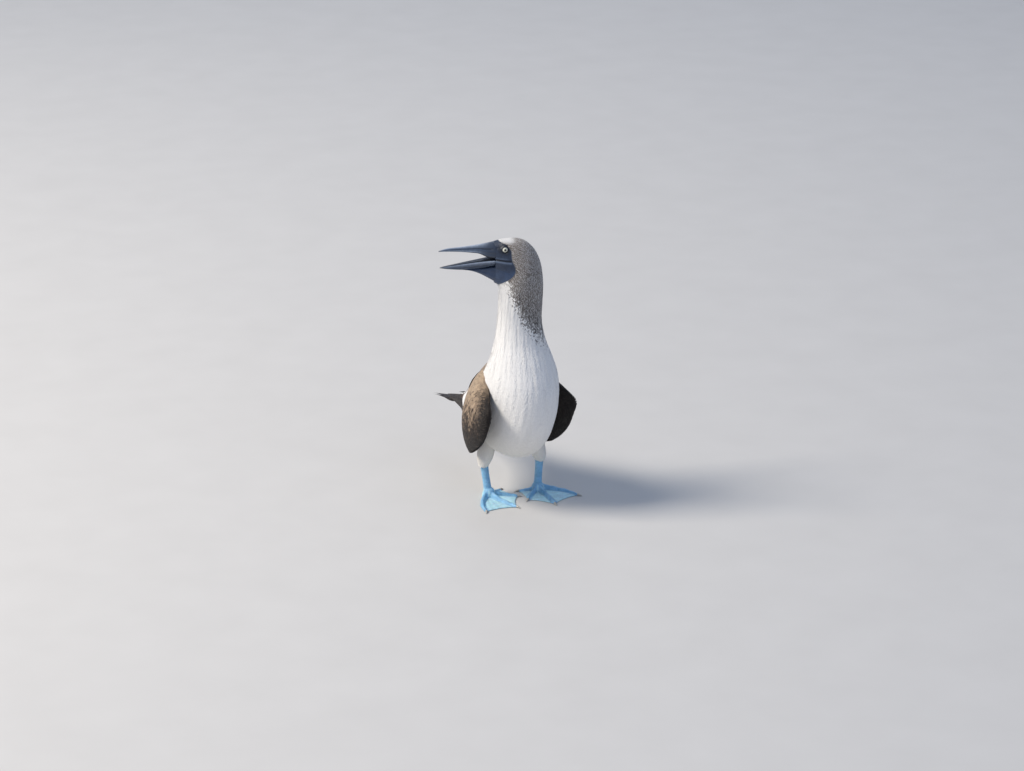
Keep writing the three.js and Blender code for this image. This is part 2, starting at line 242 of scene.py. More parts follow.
def head_place(ahead, high, left):
    """The point that lies so far ahead of, above and to the left of the eyes' middle, in the turned head."""
    parts = points(ahead, high, left)
    return EYE_LEVEL + parts @ np.array([FORWARD, UP, LEFTWARD])


def head_measure(place):
    """The opposite: how far ahead, above and to the left of the eyes' middle a point lies."""
    away = place - EYE_LEVEL
    return away @ FORWARD, away @ UP, away @ LEFTWARD


def trunk_rim(t, turn):
    """An ellipse from the belly line to the back line: turn 0 is the back, a quarter turn the left side."""
    middle_y = (along(BELLY_Y, t) + along(BACK_Y, t)) / 2
    middle_z = (along(BELLY_Z, t) + along(BACK_Z, t)) / 2
    deep_y = (along(BACK_Y, t) - along(BELLY_Y, t)) / 2
    deep_z = (along(BACK_Z, t) - along(BELLY_Z, t)) / 2
    side = along(HALF_WIDTH, t) * np.sin(turn)
    return points(side, middle_y + deep_y * np.cos(turn), middle_z + deep_z * np.cos(turn)) + LEAN


def head_rim(s, turn):
    """Slices fan out from a hinge under the jaw: s 0 is the neck's top, s 1 the root of the bill."""
    lift = s * np.pi / 2
    inner, outer = along(HEAD_INNER, s), along(HEAD_OUTER, s)
    reach = (inner + outer) / 2 + (outer - inner) / 2 * np.cos(turn)
    left = along(HEAD_HALF, s) * np.sin(turn)
    return head_place(JAW_FORWARD - reach * np.cos(lift), JAW_UP + reach * np.sin(lift), left)


def body(v, turn):
    """The whole coat's surface from the tail's root (v 0) by the neck's top (v 1) to the bill's root. The
    head takes so little of v that a step in v is about as long on the nape as on the neck."""
    v, turn = np.broadcast_arrays(np.asarray(v, float), np.asarray(turn, float))
    neck = trunk_rim(v, turn) + NECK_SHIFT * ramp(v, 0.84, 1)[..., None]
    return np.where((v > 1)[..., None], head_rim((v - 1) / HEAD_SPAN, turn - HEAD_TURN), neck)


eye_box = [np.array(corner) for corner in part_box("eye_left")]
eye_middle = (eye_box[0] + eye_box[1]) / 2 / MM
planned = head_place(0, EYE_HIGH, EYE_SIDE) + FLOOR_POINT
print("the left eye's solid is", round(float(np.linalg.norm(eye_middle - planned)), 3), "mm from the plan")

# %% [markdown]
# ## From a function to a mesh
# Each piece is a grid of points worked out by a function of two parameters, and closed at its ends. One
# helper writes such arrays into a mesh, stores attributes and texture maps on it, and registers the piece
# with the frame.

# %% Meshes from arrays
TWO_PI = 2 * np.pi


def sleeve_grid(v_values, around):
    """Every pair of a v and one of the even turns round a sleeve, as two arrays of rows by columns."""
    return np.meshgrid(v_values, np.arange(around) / around * TWO_PI, indexing="ij")


def loft(surface, v_values, around, caps=True):
    """A closed sleeve: surface(v, turn) on a grid, each end closed by a fan to the middle of its last rim."""
    grid = surface(*sleeve_grid(v_values, around))
    rows = len(v_values)
    row, column = np.meshgrid(np.arange(rows - 1), np.arange(around), indexing="ij")
    right = (column + 1) % around
    quads = np.stack([row * around + column, row * around + right,
                      (row + 1) * around + right, (row + 1) * around + column], axis=-1).reshape(-1, 4)
    vertices = grid.reshape(-1, 3)
    if not caps:
        return vertices, [quads]
    ends = np.array([grid[0].mean(axis=0), grid[-1].mean(axis=0)])
    step = np.arange(around)
    first = np.stack([np.full(around, rows * around), (step + 1) % around, step], axis=-1)
    last_row = (rows - 1) * around
    last = np.stack([np.full(around, rows * around + 1), last_row + step, last_row + (step + 1) % around], -1)
    return facing_out(np.concatenate([vertices, ends]), [quads, first, last])


def facing_out(vertices, faces):
    """Turns all faces round when the volume that they enclose comes out negative."""
    corners = [vertices[block[:, :3]] for block in faces]
    corners += [vertices[block[:, [0, 2, 3]]] for block in faces if block.shape[1] == 4]
    triangles = np.concatenate(corners)
    volume = np.einsum("ij,ij->", triangles[:, 0], np.cross(triangles[:, 1], triangles[:, 2]))
    return vertices, faces if volume > 0 else [block[:, ::-1] for block in faces]


def joined(parts):
    """Several (vertices, faces) pairs as one, their numbers moved on."""
    moved = []
    start = 0
    for vertices, faces in parts:
        moved += [block + start for block in faces]
        start += len(vertices)
    return np.concatenate([vertices for vertices, _ in parts]), moved


def read_points(mesh):
    """The mesh's points in mm between the feet."""
    flat = np.zeros(len(mesh.vertices) * 3, np.float32)
    mesh.vertices.foreach_get("co", flat)
    return flat.reshape(-1, 3) / MM - FLOOR_POINT


def write_points(mesh, place):
    """Moves the mesh's points to places in mm between the feet."""
    mesh.vertices.foreach_set("co", ((place + FLOOR_POINT) * MM).astype(np.float32).ravel())


def shade_smooth(mesh):
    """Lets every face share its normals with its neighbours."""
    mesh.polygons.foreach_set("use_smooth", np.ones(len(mesh.polygons), bool))


def mesh_object(name, vertices, faces, maps=None, attributes=None):
    """Writes points (mm between the feet) and blocks of faces into a mesh, with maps and attributes by
    point."""
    mesh = bpy.data.meshes.new(name)
    mesh.vertices.add(len(vertices))
    write_points(mesh, vertices)
    loops = np.concatenate([block.ravel() for block in faces]).astype(np.int32)
    sizes = np.concatenate([np.full(len(block), block.shape[1]) for block in faces])
    mesh.loops.add(len(loops))
    mesh.loops.foreach_set("vertex_index", loops)
    mesh.polygons.add(len(sizes))
    mesh.polygons.foreach_set("loop_start", (np.cumsum(sizes) - sizes).astype(np.int32))
    shade_smooth(mesh)
    mesh.update(calc_edges=True)
    for key, values in (maps or {}).items():
        layer = mesh.uv_layers.new(name=key)
        layer.data.foreach_set("uv", values[loops].astype(np.float32).ravel())
    set_attributes(mesh, attributes or {})
    made = bpy.data.objects.new(name, mesh)
    bpy.context.scene.collection.objects.link(made)
    return made


def set_attributes(mesh, attributes):
    """Stores arrays by point: one column as a number, three columns as a colour."""
    for key, values in attributes.items():
        values = np.asarray(values, float)
        if values.ndim == 1:
            mesh.attributes.new(key, "FLOAT", "POINT").data.foreach_set("value", values.astype(np.float32))
        else:
            full = np.concatenate([values[:, :3], np.ones((len(values), 1))], axis=1)
            layer = mesh.attributes.new(key, "FLOAT_COLOR", "POINT")
            layer.data.foreach_set("color", full.astype(np.float32).ravel())


def apply_modifiers(made):
    """Turns what the modifiers give into the object's own mesh."""
    evaluated = made.evaluated_get(bpy.context.evaluated_depsgraph_get())
    result = bpy.data.meshes.new_from_object(evaluated)
    made.modifiers.clear()
    made.data = result
    shade_smooth(result)


triangles_by_piece = {}


def finish_piece(made, material, slot, *nodes):
    """Gives a piece its material, lets it ride on the root and stand for its solids. The slot is not used."""
    made.data.materials.clear()
    made.data.materials.append(material)
    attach(made, "root")
    if nodes:
        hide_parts(*nodes)
    sizes = np.zeros(len(made.data.polygons), np.int32)
    made.data.polygons.foreach_get("loop_total", sizes)
    triangles_by_piece[made.name] = int((sizes - 2).sum())
    print(made.name, "has", triangles_by_piece[made.name], "triangles")


# %% [markdown]
# ## Markings
# The plumage is white below, streaked on head and hind neck, brown on the mantle. The streaks end on a
# slant, high at the throat and low on the nape. Bare skin covers the face from the bill to just behind the
# eye and down to the throat. All of these are functions of the place alone, so skin and feathers that meet
# always agree.

# %% Marking functions
NECK_AXIS = np.array([0.0, -30.0]) + LEAN[:2]
FACE_TOP = 12
FACE_BOTTOM = -72
FACE_BACK = [9, -4, -9.5, -10, -10, -12, -15, -15.5, -13, -7, 1.5, 9.5, 16]
STREAKS_FROM = 300
STREAKS_SLANT = 118


def bare_face(place):
    """Millimetres inside the edge of the bare face: ahead of a curve that runs behind eye, gape and
    throat."""
    ahead, high, _ = head_measure(place)
    share = (FACE_TOP - high) / (FACE_TOP - FACE_BOTTOM)
    inside = ahead - along(FACE_BACK, np.clip(share, 0, 1))
    inside = np.minimum(inside, FACE_TOP + 1 - high + np.maximum(ahead, 0) * 0.15)
    return np.where(place[..., 2] > 390, np.minimum(inside, (high - FACE_BOTTOM) + 4), -99)


def streak_share(place):
    """How much brown the neck's feathers carry: full above a line that slants from the throat to the nape."""
    away = place[..., :2] - NECK_AXIS
    round_neck = unit(away) @ FORWARD[:2]
    edge = STREAKS_FROM + STREAKS_SLANT * ((1 + round_neck) / 2) ** 1.8
    return ramp(place[..., 2], edge - 6, edge + 62)


def mantle_share(place):
    """Brown of the back: the upper side of the trunk behind the neck, with a white patch on the rump."""
    x, y, z = (place[..., i] for i in range(3))
    above = (z - LEAN[2] - 116) + 0.54 * (y - LEAN[1] - 197)
    low = -6 + 0.26 * np.maximum(z - 150, 0)
    brown = ramp(above - low, 0, 14) * (1 - ramp(z, 262, 284)) * ramp(y, -16, 8)
    patch = ramp(y, 118, 138) * ramp(-np.abs(x - LEAN[0]), -34, -16)
    return brown * (1 - patch)


# The cream is painted light bounced from the floor; the others are plumage colours.
WHITE, FLOOR_BOUNCE_CREAM, FRINGE, BUFF, TAN = (tint(code) for code in ("f3f1ed", "ece5d6", "d3c8b8", "b39b80", "7a6a5b"))
UMBER, MANTLE, BROWN, SLATE_BROWN, BLACK_BROWN = (
    tint(code) for code in ("5e5147", "4c3e34", "4b3b30", "47413d", "1c1613"))


def blend(a, b, share):
    """Colour a turned into b by a share for each point."""
    return a + (b - a) * np.asarray(share, float)[..., None]


# %% [markdown]
# ## The skin
# Under the feathers lies one continuous skin, as deep as the coat is thick: nothing on the bare face, one
# to three millimetres on the head, four to seven on neck, breast and belly. It is the same surface as
# above, moved inwards along its normals. Thighs, wing stumps and the tail's root are sleeves of their own,
# and a boolean union makes them all one.

# %% Directions on a surface
SLOPE_STEP = 1e-3
SIGN_ROWS = np.linspace(0.05, 0.6, 8)


def surface_frame(surface, v, turn):
    """Central differences: the point, its two slopes, and the unit normal that is their cross product."""
    slope_v = (surface(v + SLOPE_STEP, turn) - surface(v - SLOPE_STEP, turn)) / (2 * SLOPE_STEP)
    slope_turn = (surface(v, turn + SLOPE_STEP) - surface(v, turn - SLOPE_STEP)) / (2 * SLOPE_STEP)
    return surface(v, turn), slope_v, slope_turn, unit(np.cross(slope_v, slope_turn))


def outward_sign(surface):
    """+1 when the cross product of the slopes points away from the sleeve's middle line, else -1."""
    place, _, _, normal = surface_frame(surface, *sleeve_grid(SIGN_ROWS, 16))
    away = place - place.mean(axis=1, keepdims=True)
    return float(np.sign((away * normal).sum()))


COAT_DEPTH = [5, 5.5, 6, 6.5, 7, 7, 6, 5, 4.2, 3.4]
FACE_COAT = [3.4, 2.4, 1.6, 1.3]


def coat_depth(v, place):
    """How deep the skin lies under the coat: by region, and fading to nothing on the bare face."""
    depth = np.where(v < 1, along(COAT_DEPTH, v), along(FACE_COAT, (v - 1) / HEAD_SPAN))
    return depth * (1 - ramp(bare_face(place), -3.5, 0.5))


# %% [markdown]
# ## Folds of the face
# The gape runs on behind the bill as a crease under the eye, with a soft lip below it; their colour, set
# with the skin's, is painted shade in the crease and a painted highlight on the lip. Fine wrinkles run round
# the eye and down the throat. The eyeball needs room, so the skin dips inside the ring of the lids. These are
# small moves along the normal, each a bump or groove with a bell-shaped section.

# %% The skin's relief
LID_OPENING = 4.8
GAPE_HIGH = -18.8
GAPE_SLOPE = 0.085


def bell(value, width):
    """1 at zero, falling off to nearly nothing at twice the width."""
    return np.exp(-(np.asarray(value, float) / width) ** 2)


def gape_height(ahead):
    """Height of the mouth's crease behind the bill: level with the jaws' meeting, sinking backwards."""
    return GAPE_HIGH - GAPE_SLOPE * (JAW_FORWARD - ahead)


def face_relief(place):
    """Moves along the normal in mm: crease and lip of the gape, cheek fold, socket, wrinkles and throat
    folds."""
    ahead, high, left = head_measure(place)
    bare = ramp(bare_face(place), -1, 3)
    below = high - gape_height(ahead)
    crease_run = ramp(ahead, -15, -9)
    crease = -1.9 * bell(below, 1.1) * crease_run
    lip = 0.9 * bell(below + 2.8, 1.5) * crease_run + 0.45 * bell(below - 2.4, 1.3) * crease_run
    cheek = -0.7 * bell(high + 34 - 0.35 * (ahead - 16), 1.6) * ramp(ahead, -16, 0)
    near_eye = np.hypot(ahead, high - EYE_HIGH)
    socket = -6.5 * (1 - ramp(near_eye, LID_OPENING - 0.2, LID_OPENING + 1.6))
    brow = 2.3 * bell(np.hypot(ahead, high - 6.5), 6.5) * ramp(np.abs(left), 4, 9)
    rings = 0.14 * np.sin(near_eye * 3.2) * ramp(near_eye, 7, 8) * (1 - ramp(near_eye, 12, 17))
    folds = np.sin(high * 1.25 - ahead * 0.35 + 1.3 * np.sin(ahead * 0.31 + high * 0.17))
    throat = 0.11 * folds * ramp(-high, 40, 50)
    lore = -0.5 * bell(high - 3 + 0.1 * ahead, 1.8) * ramp(ahead, 7, 12)
    return bare * (crease + lip + cheek + brow + rings + throat + lore) + socket * (np.abs(left) > 6)


def skin_surface(v, turn):
    """The coat's surface moved inwards by the coat's depth, then in and out by the relief of the face."""
    place, _, _, normal = surface_frame(body, v, turn)
    move = np.where(v > 1, face_relief(place), 0) - coat_depth(v, place)
    return place + normal * (BODY_SIGN * move)[..., None]


BODY_SIGN = outward_sign(body)
SKIN_ROWS = np.concatenate([np.linspace(0.01, 1, 96, endpoint=False), 1 + HEAD_SPAN * np.linspace(0, 1, 190)])
SKIN_AROUND = 216
skin_body = loft(skin_surface, SKIN_ROWS, SKIN_AROUND)
print("skin of trunk, neck and head:", len(skin_body[0]), "points, normals point", BODY_SIGN)

# %% [markdown]
# ## Throat, thighs, wings and tail
# The throat is a wedge of loose skin between the halves of the lower jaw. The wings are leaf shaped slices
# between a top and a bottom edge that bulge away from the body, the tail a low roof that slopes down
# behind, and the thighs lean tubes. Their formulas are those of the solids, but the wings end slimmer, the
# right one is tucked in, and the tail is narrower and a little longer.

# %% Shapes of the throat and limbs
BILL_START = 15.2
BILL_LENGTH = 100
LOWER_LENGTH = 98
UPPER_BILL = {"top": [10.8, 8.6, 6.8, 5.4, 4.4, 3.7, 2.8, -0.6],
              "bottom": [-18.6, -15.6, -8.6, -6.2, -4.2, -3, -2.2, -2.2],
              "half": [16, 12.6, 9.6, 7.4, 5.8, 4.6, 3.6, 1]}
LOWER_BILL = {"top": [-19.1, -20, -21.3, -22.9, -24.8, -26.8, -28.8, -31],
              "bottom": [-33, -35.5, -37.6, -38.2, -38, -36.8, -35, -32.4],
              "half": [15.6, 12.2, 9.2, 7, 5.4, 4.2, 3.1, 0.9]}
BITE_SHARE = 0.2
BITE_POWER = 0.45
THROAT_REACH = 56
THROAT = {"top": along(LOWER_BILL["bottom"], np.linspace(0, THROAT_REACH / LOWER_LENGTH, 5)) + 1.2,
          "bottom": np.array([-65, -55.6, -46.8, -40.6, -37.6]),
          "half": [15, 10.8, 7.3, 5, 3]}
WING = {"topX": [82, 62, 48, 38, 29, 25, 20, 16, 12, 8],
        "topY": [-70, -26, 10, 45, 85, 120, 152, 184, 222, 268],
        "topZ": [196, 219, 234, 227, 200, 167, 144, 131, 119, 106],
        "bottomX": [85, 84, 81, 76, 58, 35, 23, 18, 14, 8.5],
        "bottomY": [-73, -50, -12, 22, 62, 100, 140, 178, 220, 268],
        "bottomZ": [168, 129, 96, 81, 90, 97, 106, 112, 109, 103],
        "bulge": [2, 12, 21, 20, 11, 5, 3.5, 3, 2, 1],
        "thick": [5, 9, 10, 9, 6.5, 4.5, 3, 2.2, 1.5, 0.7]}
TAIL_ROOT = 196
TAIL_LENGTH = 139
TAIL_HEIGHT = 117
TAIL_SLOPE = np.radians(14)
TAIL_SAG = 5
TAIL_SAG_AT = 26
TAIL_HALF = [13, 14.5, 13.5, 11.5, 9, 6.5, 4, 1.2]
TAIL_THICK = [4.5, 3.4, 2.6, 2, 1.6, 1.2, 0.9, 0.5]
HEM = 61
THIGH_TOP = 134
THIGH_RADIUS = [11.4, 14, 15, 16, 17, 19]
THIGH_LEAN = 17, 4
SIDES = {"left": 1, "right": -1}
LEGS = {"left": {"hub": (44.1, -11.6), "shank": (50, -8), "turn": 3, "out": 1},
        "right": {"hub": (-48.6, 2.7), "shank": (-54, 11), "turn": 16, "out": -1}}


def jaw_rim(lines, flat_side, start, length, s, turn):
    """Round on its outer side, nearly flat on the side that bites, which a power of the sine squares."""
    top, bottom = along(lines["top"], s), along(lines["bottom"], s)
    high = np.cos(turn)
    bite = (top - bottom) * BITE_SHARE
    meet = top - bite if flat_side > 0 else bottom + bite
    rise = np.where(high > 0, (top - meet) * high, (meet - bottom) * high)
    power = np.where(np.sign(high) == flat_side, BITE_POWER, 1.0)
    left = along(lines["half"], s) * np.sign(np.sin(turn)) * np.abs(np.sin(turn)) ** power
    return head_place(start + s * length, meet + rise, left)


def throat_rim(s, turn):
    """The throat's wedge, from inside the head forward along the lower jaw, with long soft folds."""
    place = jaw_rim(THROAT, 1, 12, THROAT_REACH + 4, s, turn)
    folds = 0.5 * np.sin(turn * 9 + s * 3) * ramp(-np.cos(turn), -0.3, 0.4) * (1 - ramp(s, 0.8, 1))
    return place + LEFTWARD * (folds * np.sin(turn))[..., None]


WING_NOSE = 0.024
RIGHT_TUCK = 5.0


def wing_rim(out, t, turn):
    """A leaf slice: cosine from the bottom edge to the top edge, bulge and thickness along the wing's
    normal. Ahead of its first slice the wing closes in a round nose, a quarter circle along the wing. The
    right wing is tucked in: its lower edge lies a few millimetres higher and its bulge is flatter."""
    nose = np.sqrt(np.clip(1 - (np.minimum(t, 0) / WING_NOSE) ** 2, 0.0004, 1))[..., None]
    top = points(along(WING["topX"], t), along(WING["topY"], t), along(WING["topZ"], t))
    tuck = RIGHT_TUCK * bell(t - 0.3, 0.2) * (out < 0)
    bottom = points(along(WING["bottomX"], t), along(WING["bottomY"], t), along(WING["bottomZ"], t) + tuck)
    rise = (top - bottom) / 2
    normal = unit(np.cross(np.array([0, 1, -0.3]), rise))
    normal = normal * np.where(normal[..., :1] < 0, -1, 1)
    high = np.cos(turn)
    away = (along(WING["bulge"], t) - 0.6 * tuck) * (1 - high ** 2) + along(WING["thick"], t) * np.sin(turn)
    place = (top + bottom) / 2 + (rise * high[..., None] + normal * away[..., None]) * nose
    return place * np.array([out, 1, 1]) + LEAN


def tail_rim(s, turn):
    """A thin roof: cosine across, sagging with the square of the distance from its ridge, sine for
    thickness."""
    run = s * TAIL_LENGTH
    across = along(TAIL_HALF, s) * np.cos(turn)
    sag = TAIL_SAG * (across / TAIL_SAG_AT) ** 2
    y = TAIL_ROOT + run * np.cos(TAIL_SLOPE)
    z = TAIL_HEIGHT - run * np.sin(TAIL_SLOPE) - sag + along(TAIL_THICK, s) * np.sin(turn)
    return points(across, y, z) + LEAN


def thigh_rim(leg, s, turn):
    """A leaning tube whose radius grows upwards, a little deeper than wide."""
    radius = along(THIGH_RADIUS, s)
    x, y = leg["shank"]
    inwards, backwards = THIGH_LEAN
    centre = points(x - leg["out"] * inwards * s, y + backwards * s, HEM + (THIGH_TOP - HEM) * s)
    return centre + points(radius * np.cos(turn), radius * 1.15 * np.sin(turn), 0)


def inset(surface, depth):
    """A function for the same surface moved inwards by a depth in mm."""
    sign = outward_sign(surface)
    def moved(v, turn):
        place, _, _, normal = surface_frame(surface, v, turn)
        return place - normal * sign * depth
    return moved


# %% [markdown]
# ## One skin by union
# Every feathered sleeve is moved in by its own coat depth before the union, so that no bare flesh pokes
# through the feathers. The throat is bare. The solver that works on closed solids does this in a second or
# two even with a fine mesh.

# %% Union of the sleeves
THIGH_COAT, WING_COAT, TAIL_COAT = 2.6, 1.2, 1.4
sleeves = [loft(throat_rim, np.linspace(0, 1, 60), 90)]
for leg in LEGS.values():
    thigh = inset(lambda s, turn: thigh_rim(leg, s, turn), THIGH_COAT)
    sleeves.append(loft(thigh, np.linspace(0.04, 1, 26), 40))
    wing = inset(lambda t, turn: wing_rim(leg["out"], t, turn), WING_COAT)
    sleeves.append(loft(wing, np.linspace(-0.019, 0.56, 60), 44))
sleeves.append(loft(inset(tail_rim, TAIL_COAT), np.linspace(0.0, 0.4, 20), 30))

skin = mesh_object("skin", *skin_body)
tools = [mesh_object(f"sleeve_{i}", *sleeve) for i, sleeve in enumerate(sleeves)]
for tool in tools:
    union = skin.modifiers.new("union", "BOOLEAN")
    union.operation = "UNION"
    union.solver = "MANIFOLD"
    union.object = tool
apply_modifiers(skin)
for tool in tools:
    bpy.data.objects.remove(tool)
print("skin after the union:", len(skin.data.vertices), "points")

# %% [markdown]
# ## Colour of the skin
# The bare face is a dark slate blue, nearly black round the eye and lighter on the throat. Along the gape's
# crease it is painted nearly black as shade, and the lip below the gape and a band above it are painted pale
# as highlights. Elsewhere the skin carries the tone of the feathers above it, so that a gap between vanes
# shows nothing. Fine creases come from two sizes of cells: hide is covered in little plates, and here they
# are two thirds of a millimetre and two millimetres wide, as real ones would be too fine to show.

# %% Skin attributes and material
# The pale slate is a painted highlight colour for the lip and the band above the gape.
SLATE, SLATE_DARK, SLATE_HIGHLIGHT, THROAT_BLUE = (tint(code) for code in ("303b4e", "161c28", "6b7c95", "3a4c69"))


PLATES_PER_METRE = 1500.0, 520.0
SCALES_PER_METRE = 720.0


def hide_colour(place):
    """Slate tones of the bare face, with painted highlights on the lip and above the gape and painted shade
    in the gape's crease, blended into the tone of the plumage outside it, and the share of bare."""
    ahead, high, _ = head_measure(place)
    below = high - gape_height(ahead)
    tone = blend(SLATE, THROAT_BLUE, ramp(-high, 30, 46))
    # Painted highlights on the lip below the gape and on a band above it, then painted shade in the gape's
    # crease.
    tone = blend(tone, SLATE_HIGHLIGHT, 0.95 * bell(below + 3.0, 1.6) * ramp(ahead, -14, -8))
    tone = blend(tone, SLATE_HIGHLIGHT, 0.35 * bell(below - 3.6, 1.3) * ramp(ahead, -8, 0))
    tone = blend(tone, SLATE_DARK, 0.9 * bell(below, 1.5) * ramp(ahead, -14, -8))
    tone = blend(tone, SLATE_DARK, 0.75 * (1 - ramp(np.hypot(ahead * 0.8, high - EYE_HIGH), 6, 13)))
    plumage = blend(WHITE, blend(UMBER, WHITE, 0.35), streak_share(place))
    plumage = blend(plumage, MANTLE, mantle_share(place))
    wing = ramp(np.abs(place[:, 0] - LEAN[0]), 60, 64) * (place[:, 2] < 250)
    plumage = blend(plumage, BLACK_BROWN, np.maximum(wing, ramp(place[:, 1], 170, 190)))
    bare = ramp(bare_face(place), -1.5, 0.5)
    return blend(plumage, tone, bare), bare


hide, bare = hide_colour(read_points(skin.data))
set_attributes(skin.data, {"hide": hide, "bare": bare})

hide_skin, tree, surface = new_material("slate_face_skin_fine_plates", IOR=1.45, Coat_Weight=0.08,
                                        Coat_Roughness=0.35)
place = add(tree, "TexCoord", out=3)
tone = add(tree, "Attribute", attribute_name="hide")
bare_mask = add(tree, "Attribute", out=2, attribute_name="bare")
fine, coarse = (add(tree, "TexVoronoi", {"Vector": place, "Scale": scale}, feature="DISTANCE_TO_EDGE")
                for scale in PLATES_PER_METRE)
cloud = add(tree, "TexNoise", {"Vector": place, "Scale": 160.0, "Detail": 6.0})
plates = add(tree, "Math", {0: fine, 1: coarse}, operation="ADD")
crease = add(tree, "MapRange", {0: plates, 1: 0.02, 2: 0.3, 3: 0.62, 4: 1.0})
mottle = add(tree, "MapRange", {0: cloud, 1: 0.3, 2: 0.7, 3: 0.84, 4: 1.12})
both = add(tree, "Math", {0: crease, 1: mottle}, operation="MULTIPLY")
rough = add(tree, "MapRange", {0: bare_mask, 3: 0.85, 4: 0.46})
height = add(tree, "Math", {0: plates, 1: bare_mask}, operation="MULTIPLY")
dress(tree, surface, tone, both, rough, height, 0.5, 0.0004)
finish_piece(skin, hide_skin, "face_skin", "rump", "trunk", "breast", "neck_lower", "neck_upper", "head",
             "throat_skin", "thigh_left", "thigh_right", "wing_left", "wing_right")

# %% [markdown]
# ## A vane
# One feather's vane is a thin closed leaf. It starts at its root under the coat and is laid step by step:
# at each step the surface's own slopes give the way to go, so the leaf bends with the body. It rises from
# the skin at its root to the coat's outside at its tip, and so each lies over the roots of those below it.
# Thousands of them are worked out at once, because every step is one array operation for all vanes.

# %% Laying vanes on a surface
ROUND_TIP = [0.4, 1.0, 0.9, 0.3]
LANCE_TIP = [0.45, 0.95, 0.7, 0.06]
DOWNY_TIP = [0.45, 1.0, 0.75, 0.16]
BAKE_PATCH = 0.003


def row_shares(rows):
    """Where a vane's rows lie between root and tip: even on long quills, crowded to the tip on short
    vanes."""
    return np.linspace(0, 1, rows) ** (0.65 if rows < 6 else 1.0)


def walk_to(surface, v, turn, target):
    """The surface's point nearest to a target: each round solves the two slopes for what is still missing."""
    for _ in range(3):
        place, slope_v, slope_turn, _ = surface_frame(surface, v, turn)
        a11, a12, a22 = ((a * b).sum(-1) for a, b in
                         ((slope_v, slope_v), (slope_v, slope_turn), (slope_turn, slope_turn)))
        b1, b2 = (((target - place) * slope).sum(-1) for slope in (slope_v, slope_turn))
        size = np.maximum(a11 * a22 - a12 ** 2, 1e-6)
        v = v + np.clip((a22 * b1 - a12 * b2) / size, -0.12, 0.12)
        turn = turn + np.clip((a11 * b2 - a12 * b1) / size, -0.5, 0.5)
    return v, turn


def lay_vanes(surface, v, turn, ahead, sway, length, width, depth, lift, outline, columns=3, camber=0.07,
              roll=0.0):
    """Each vane walks over the surface from its root: ahead is +1 or -1 for growing or falling v, sway the
    angle off that way. Its height over the surface runs from -depth at the root to lift at the tip, and its
    half width follows the outline. Gives points by vane, row and column."""
    sign = outward_sign(surface)
    sway = np.broadcast_to(sway, turn.shape)
    shares = row_shares(len(outline))
    across = np.linspace(-1, 1, columns)
    rows = []
    for k, share in enumerate(shares):
        place, slope_v, slope_turn, normal = surface_frame(surface, v, turn)
        normal = normal * sign
        way = unit(slope_v) * (ahead * np.cos(sway))[:, None] + unit(slope_turn) * np.sin(sway)[:, None]
        way = unit(way - normal * (way * normal).sum(-1, keepdims=True))
        side = np.cross(normal, way)
        height = -depth * (1 - share) ** 3 + lift * share
        half = outline[k] * width / 2
        bow = camber * width * outline[k] * (1 - across[:, None] ** 2)
        tilt = roll * across[:, None] * half
        high = (height + bow + tilt).T
        rows.append(place[:, None] + side[:, None] * (half[:, None] * across)[..., None]
                    + normal[:, None] * high[..., None])
        if k < len(shares) - 1:
            v, turn = walk_to(surface, v, turn, place + way * (length * (shares[k + 1] - share))[:, None])
    return np.stack(rows, axis=1)


def vane_faces(count, rows, columns):
    """Faces of closed leaves: the arched top in quads, one strip of quads below, a cap at root and tip."""
    def cells(row, column):
        return row * columns + column
    k, c = (grid.ravel() for grid in np.meshgrid(np.arange(rows - 1), np.arange(columns - 1), indexing="ij"))
    top = np.stack([cells(k, c), cells(k + 1, c), cells(k + 1, c + 1), cells(k, c + 1)], axis=-1)
    k = np.arange(rows - 1)
    end = columns - 1
    under = np.stack([cells(k, 0), cells(k, end), cells(k + 1, end), cells(k + 1, 0)], axis=-1)
    root = np.arange(columns)[None]
    tip = (cells(rows - 1, 0) + np.arange(columns))[None, ::-1]
    start = (np.arange(count) * rows * columns)[:, None, None]
    return [(block[None] + start).reshape(-1, block.shape[1]) for block in
            (np.concatenate([top, under]), np.concatenate([root, tip]))]


def sharpen_rims(mesh, rows, columns):
    """Marks the leaf's outline as sharp, so that its arched top is shaded on its own. A point's number
    gives its row and column, and so tells which edges run along a side or round an end."""
    pairs = np.zeros(len(mesh.edges) * 2, np.int32)
    mesh.edges.foreach_get("vertices", pairs)
    a, b = pairs.reshape(-1, 2).T
    row_a, row_b, column_a, column_b = a // columns % rows, b // columns % rows, a % columns, b % columns
    side = (column_a == column_b) & ((column_a == 0) | (column_a == columns - 1))
    end = (row_a == row_b) & ((row_a == 0) | (row_a == rows - 1))
    mesh.attributes.new("sharp_edge", "BOOLEAN", "EDGE").data.foreach_set("value", side | end)


SCATTER_ROWS = 220
SCATTER_COLUMNS = 181
EVEN_STEPS = 0.7548776662, 0.5698402910


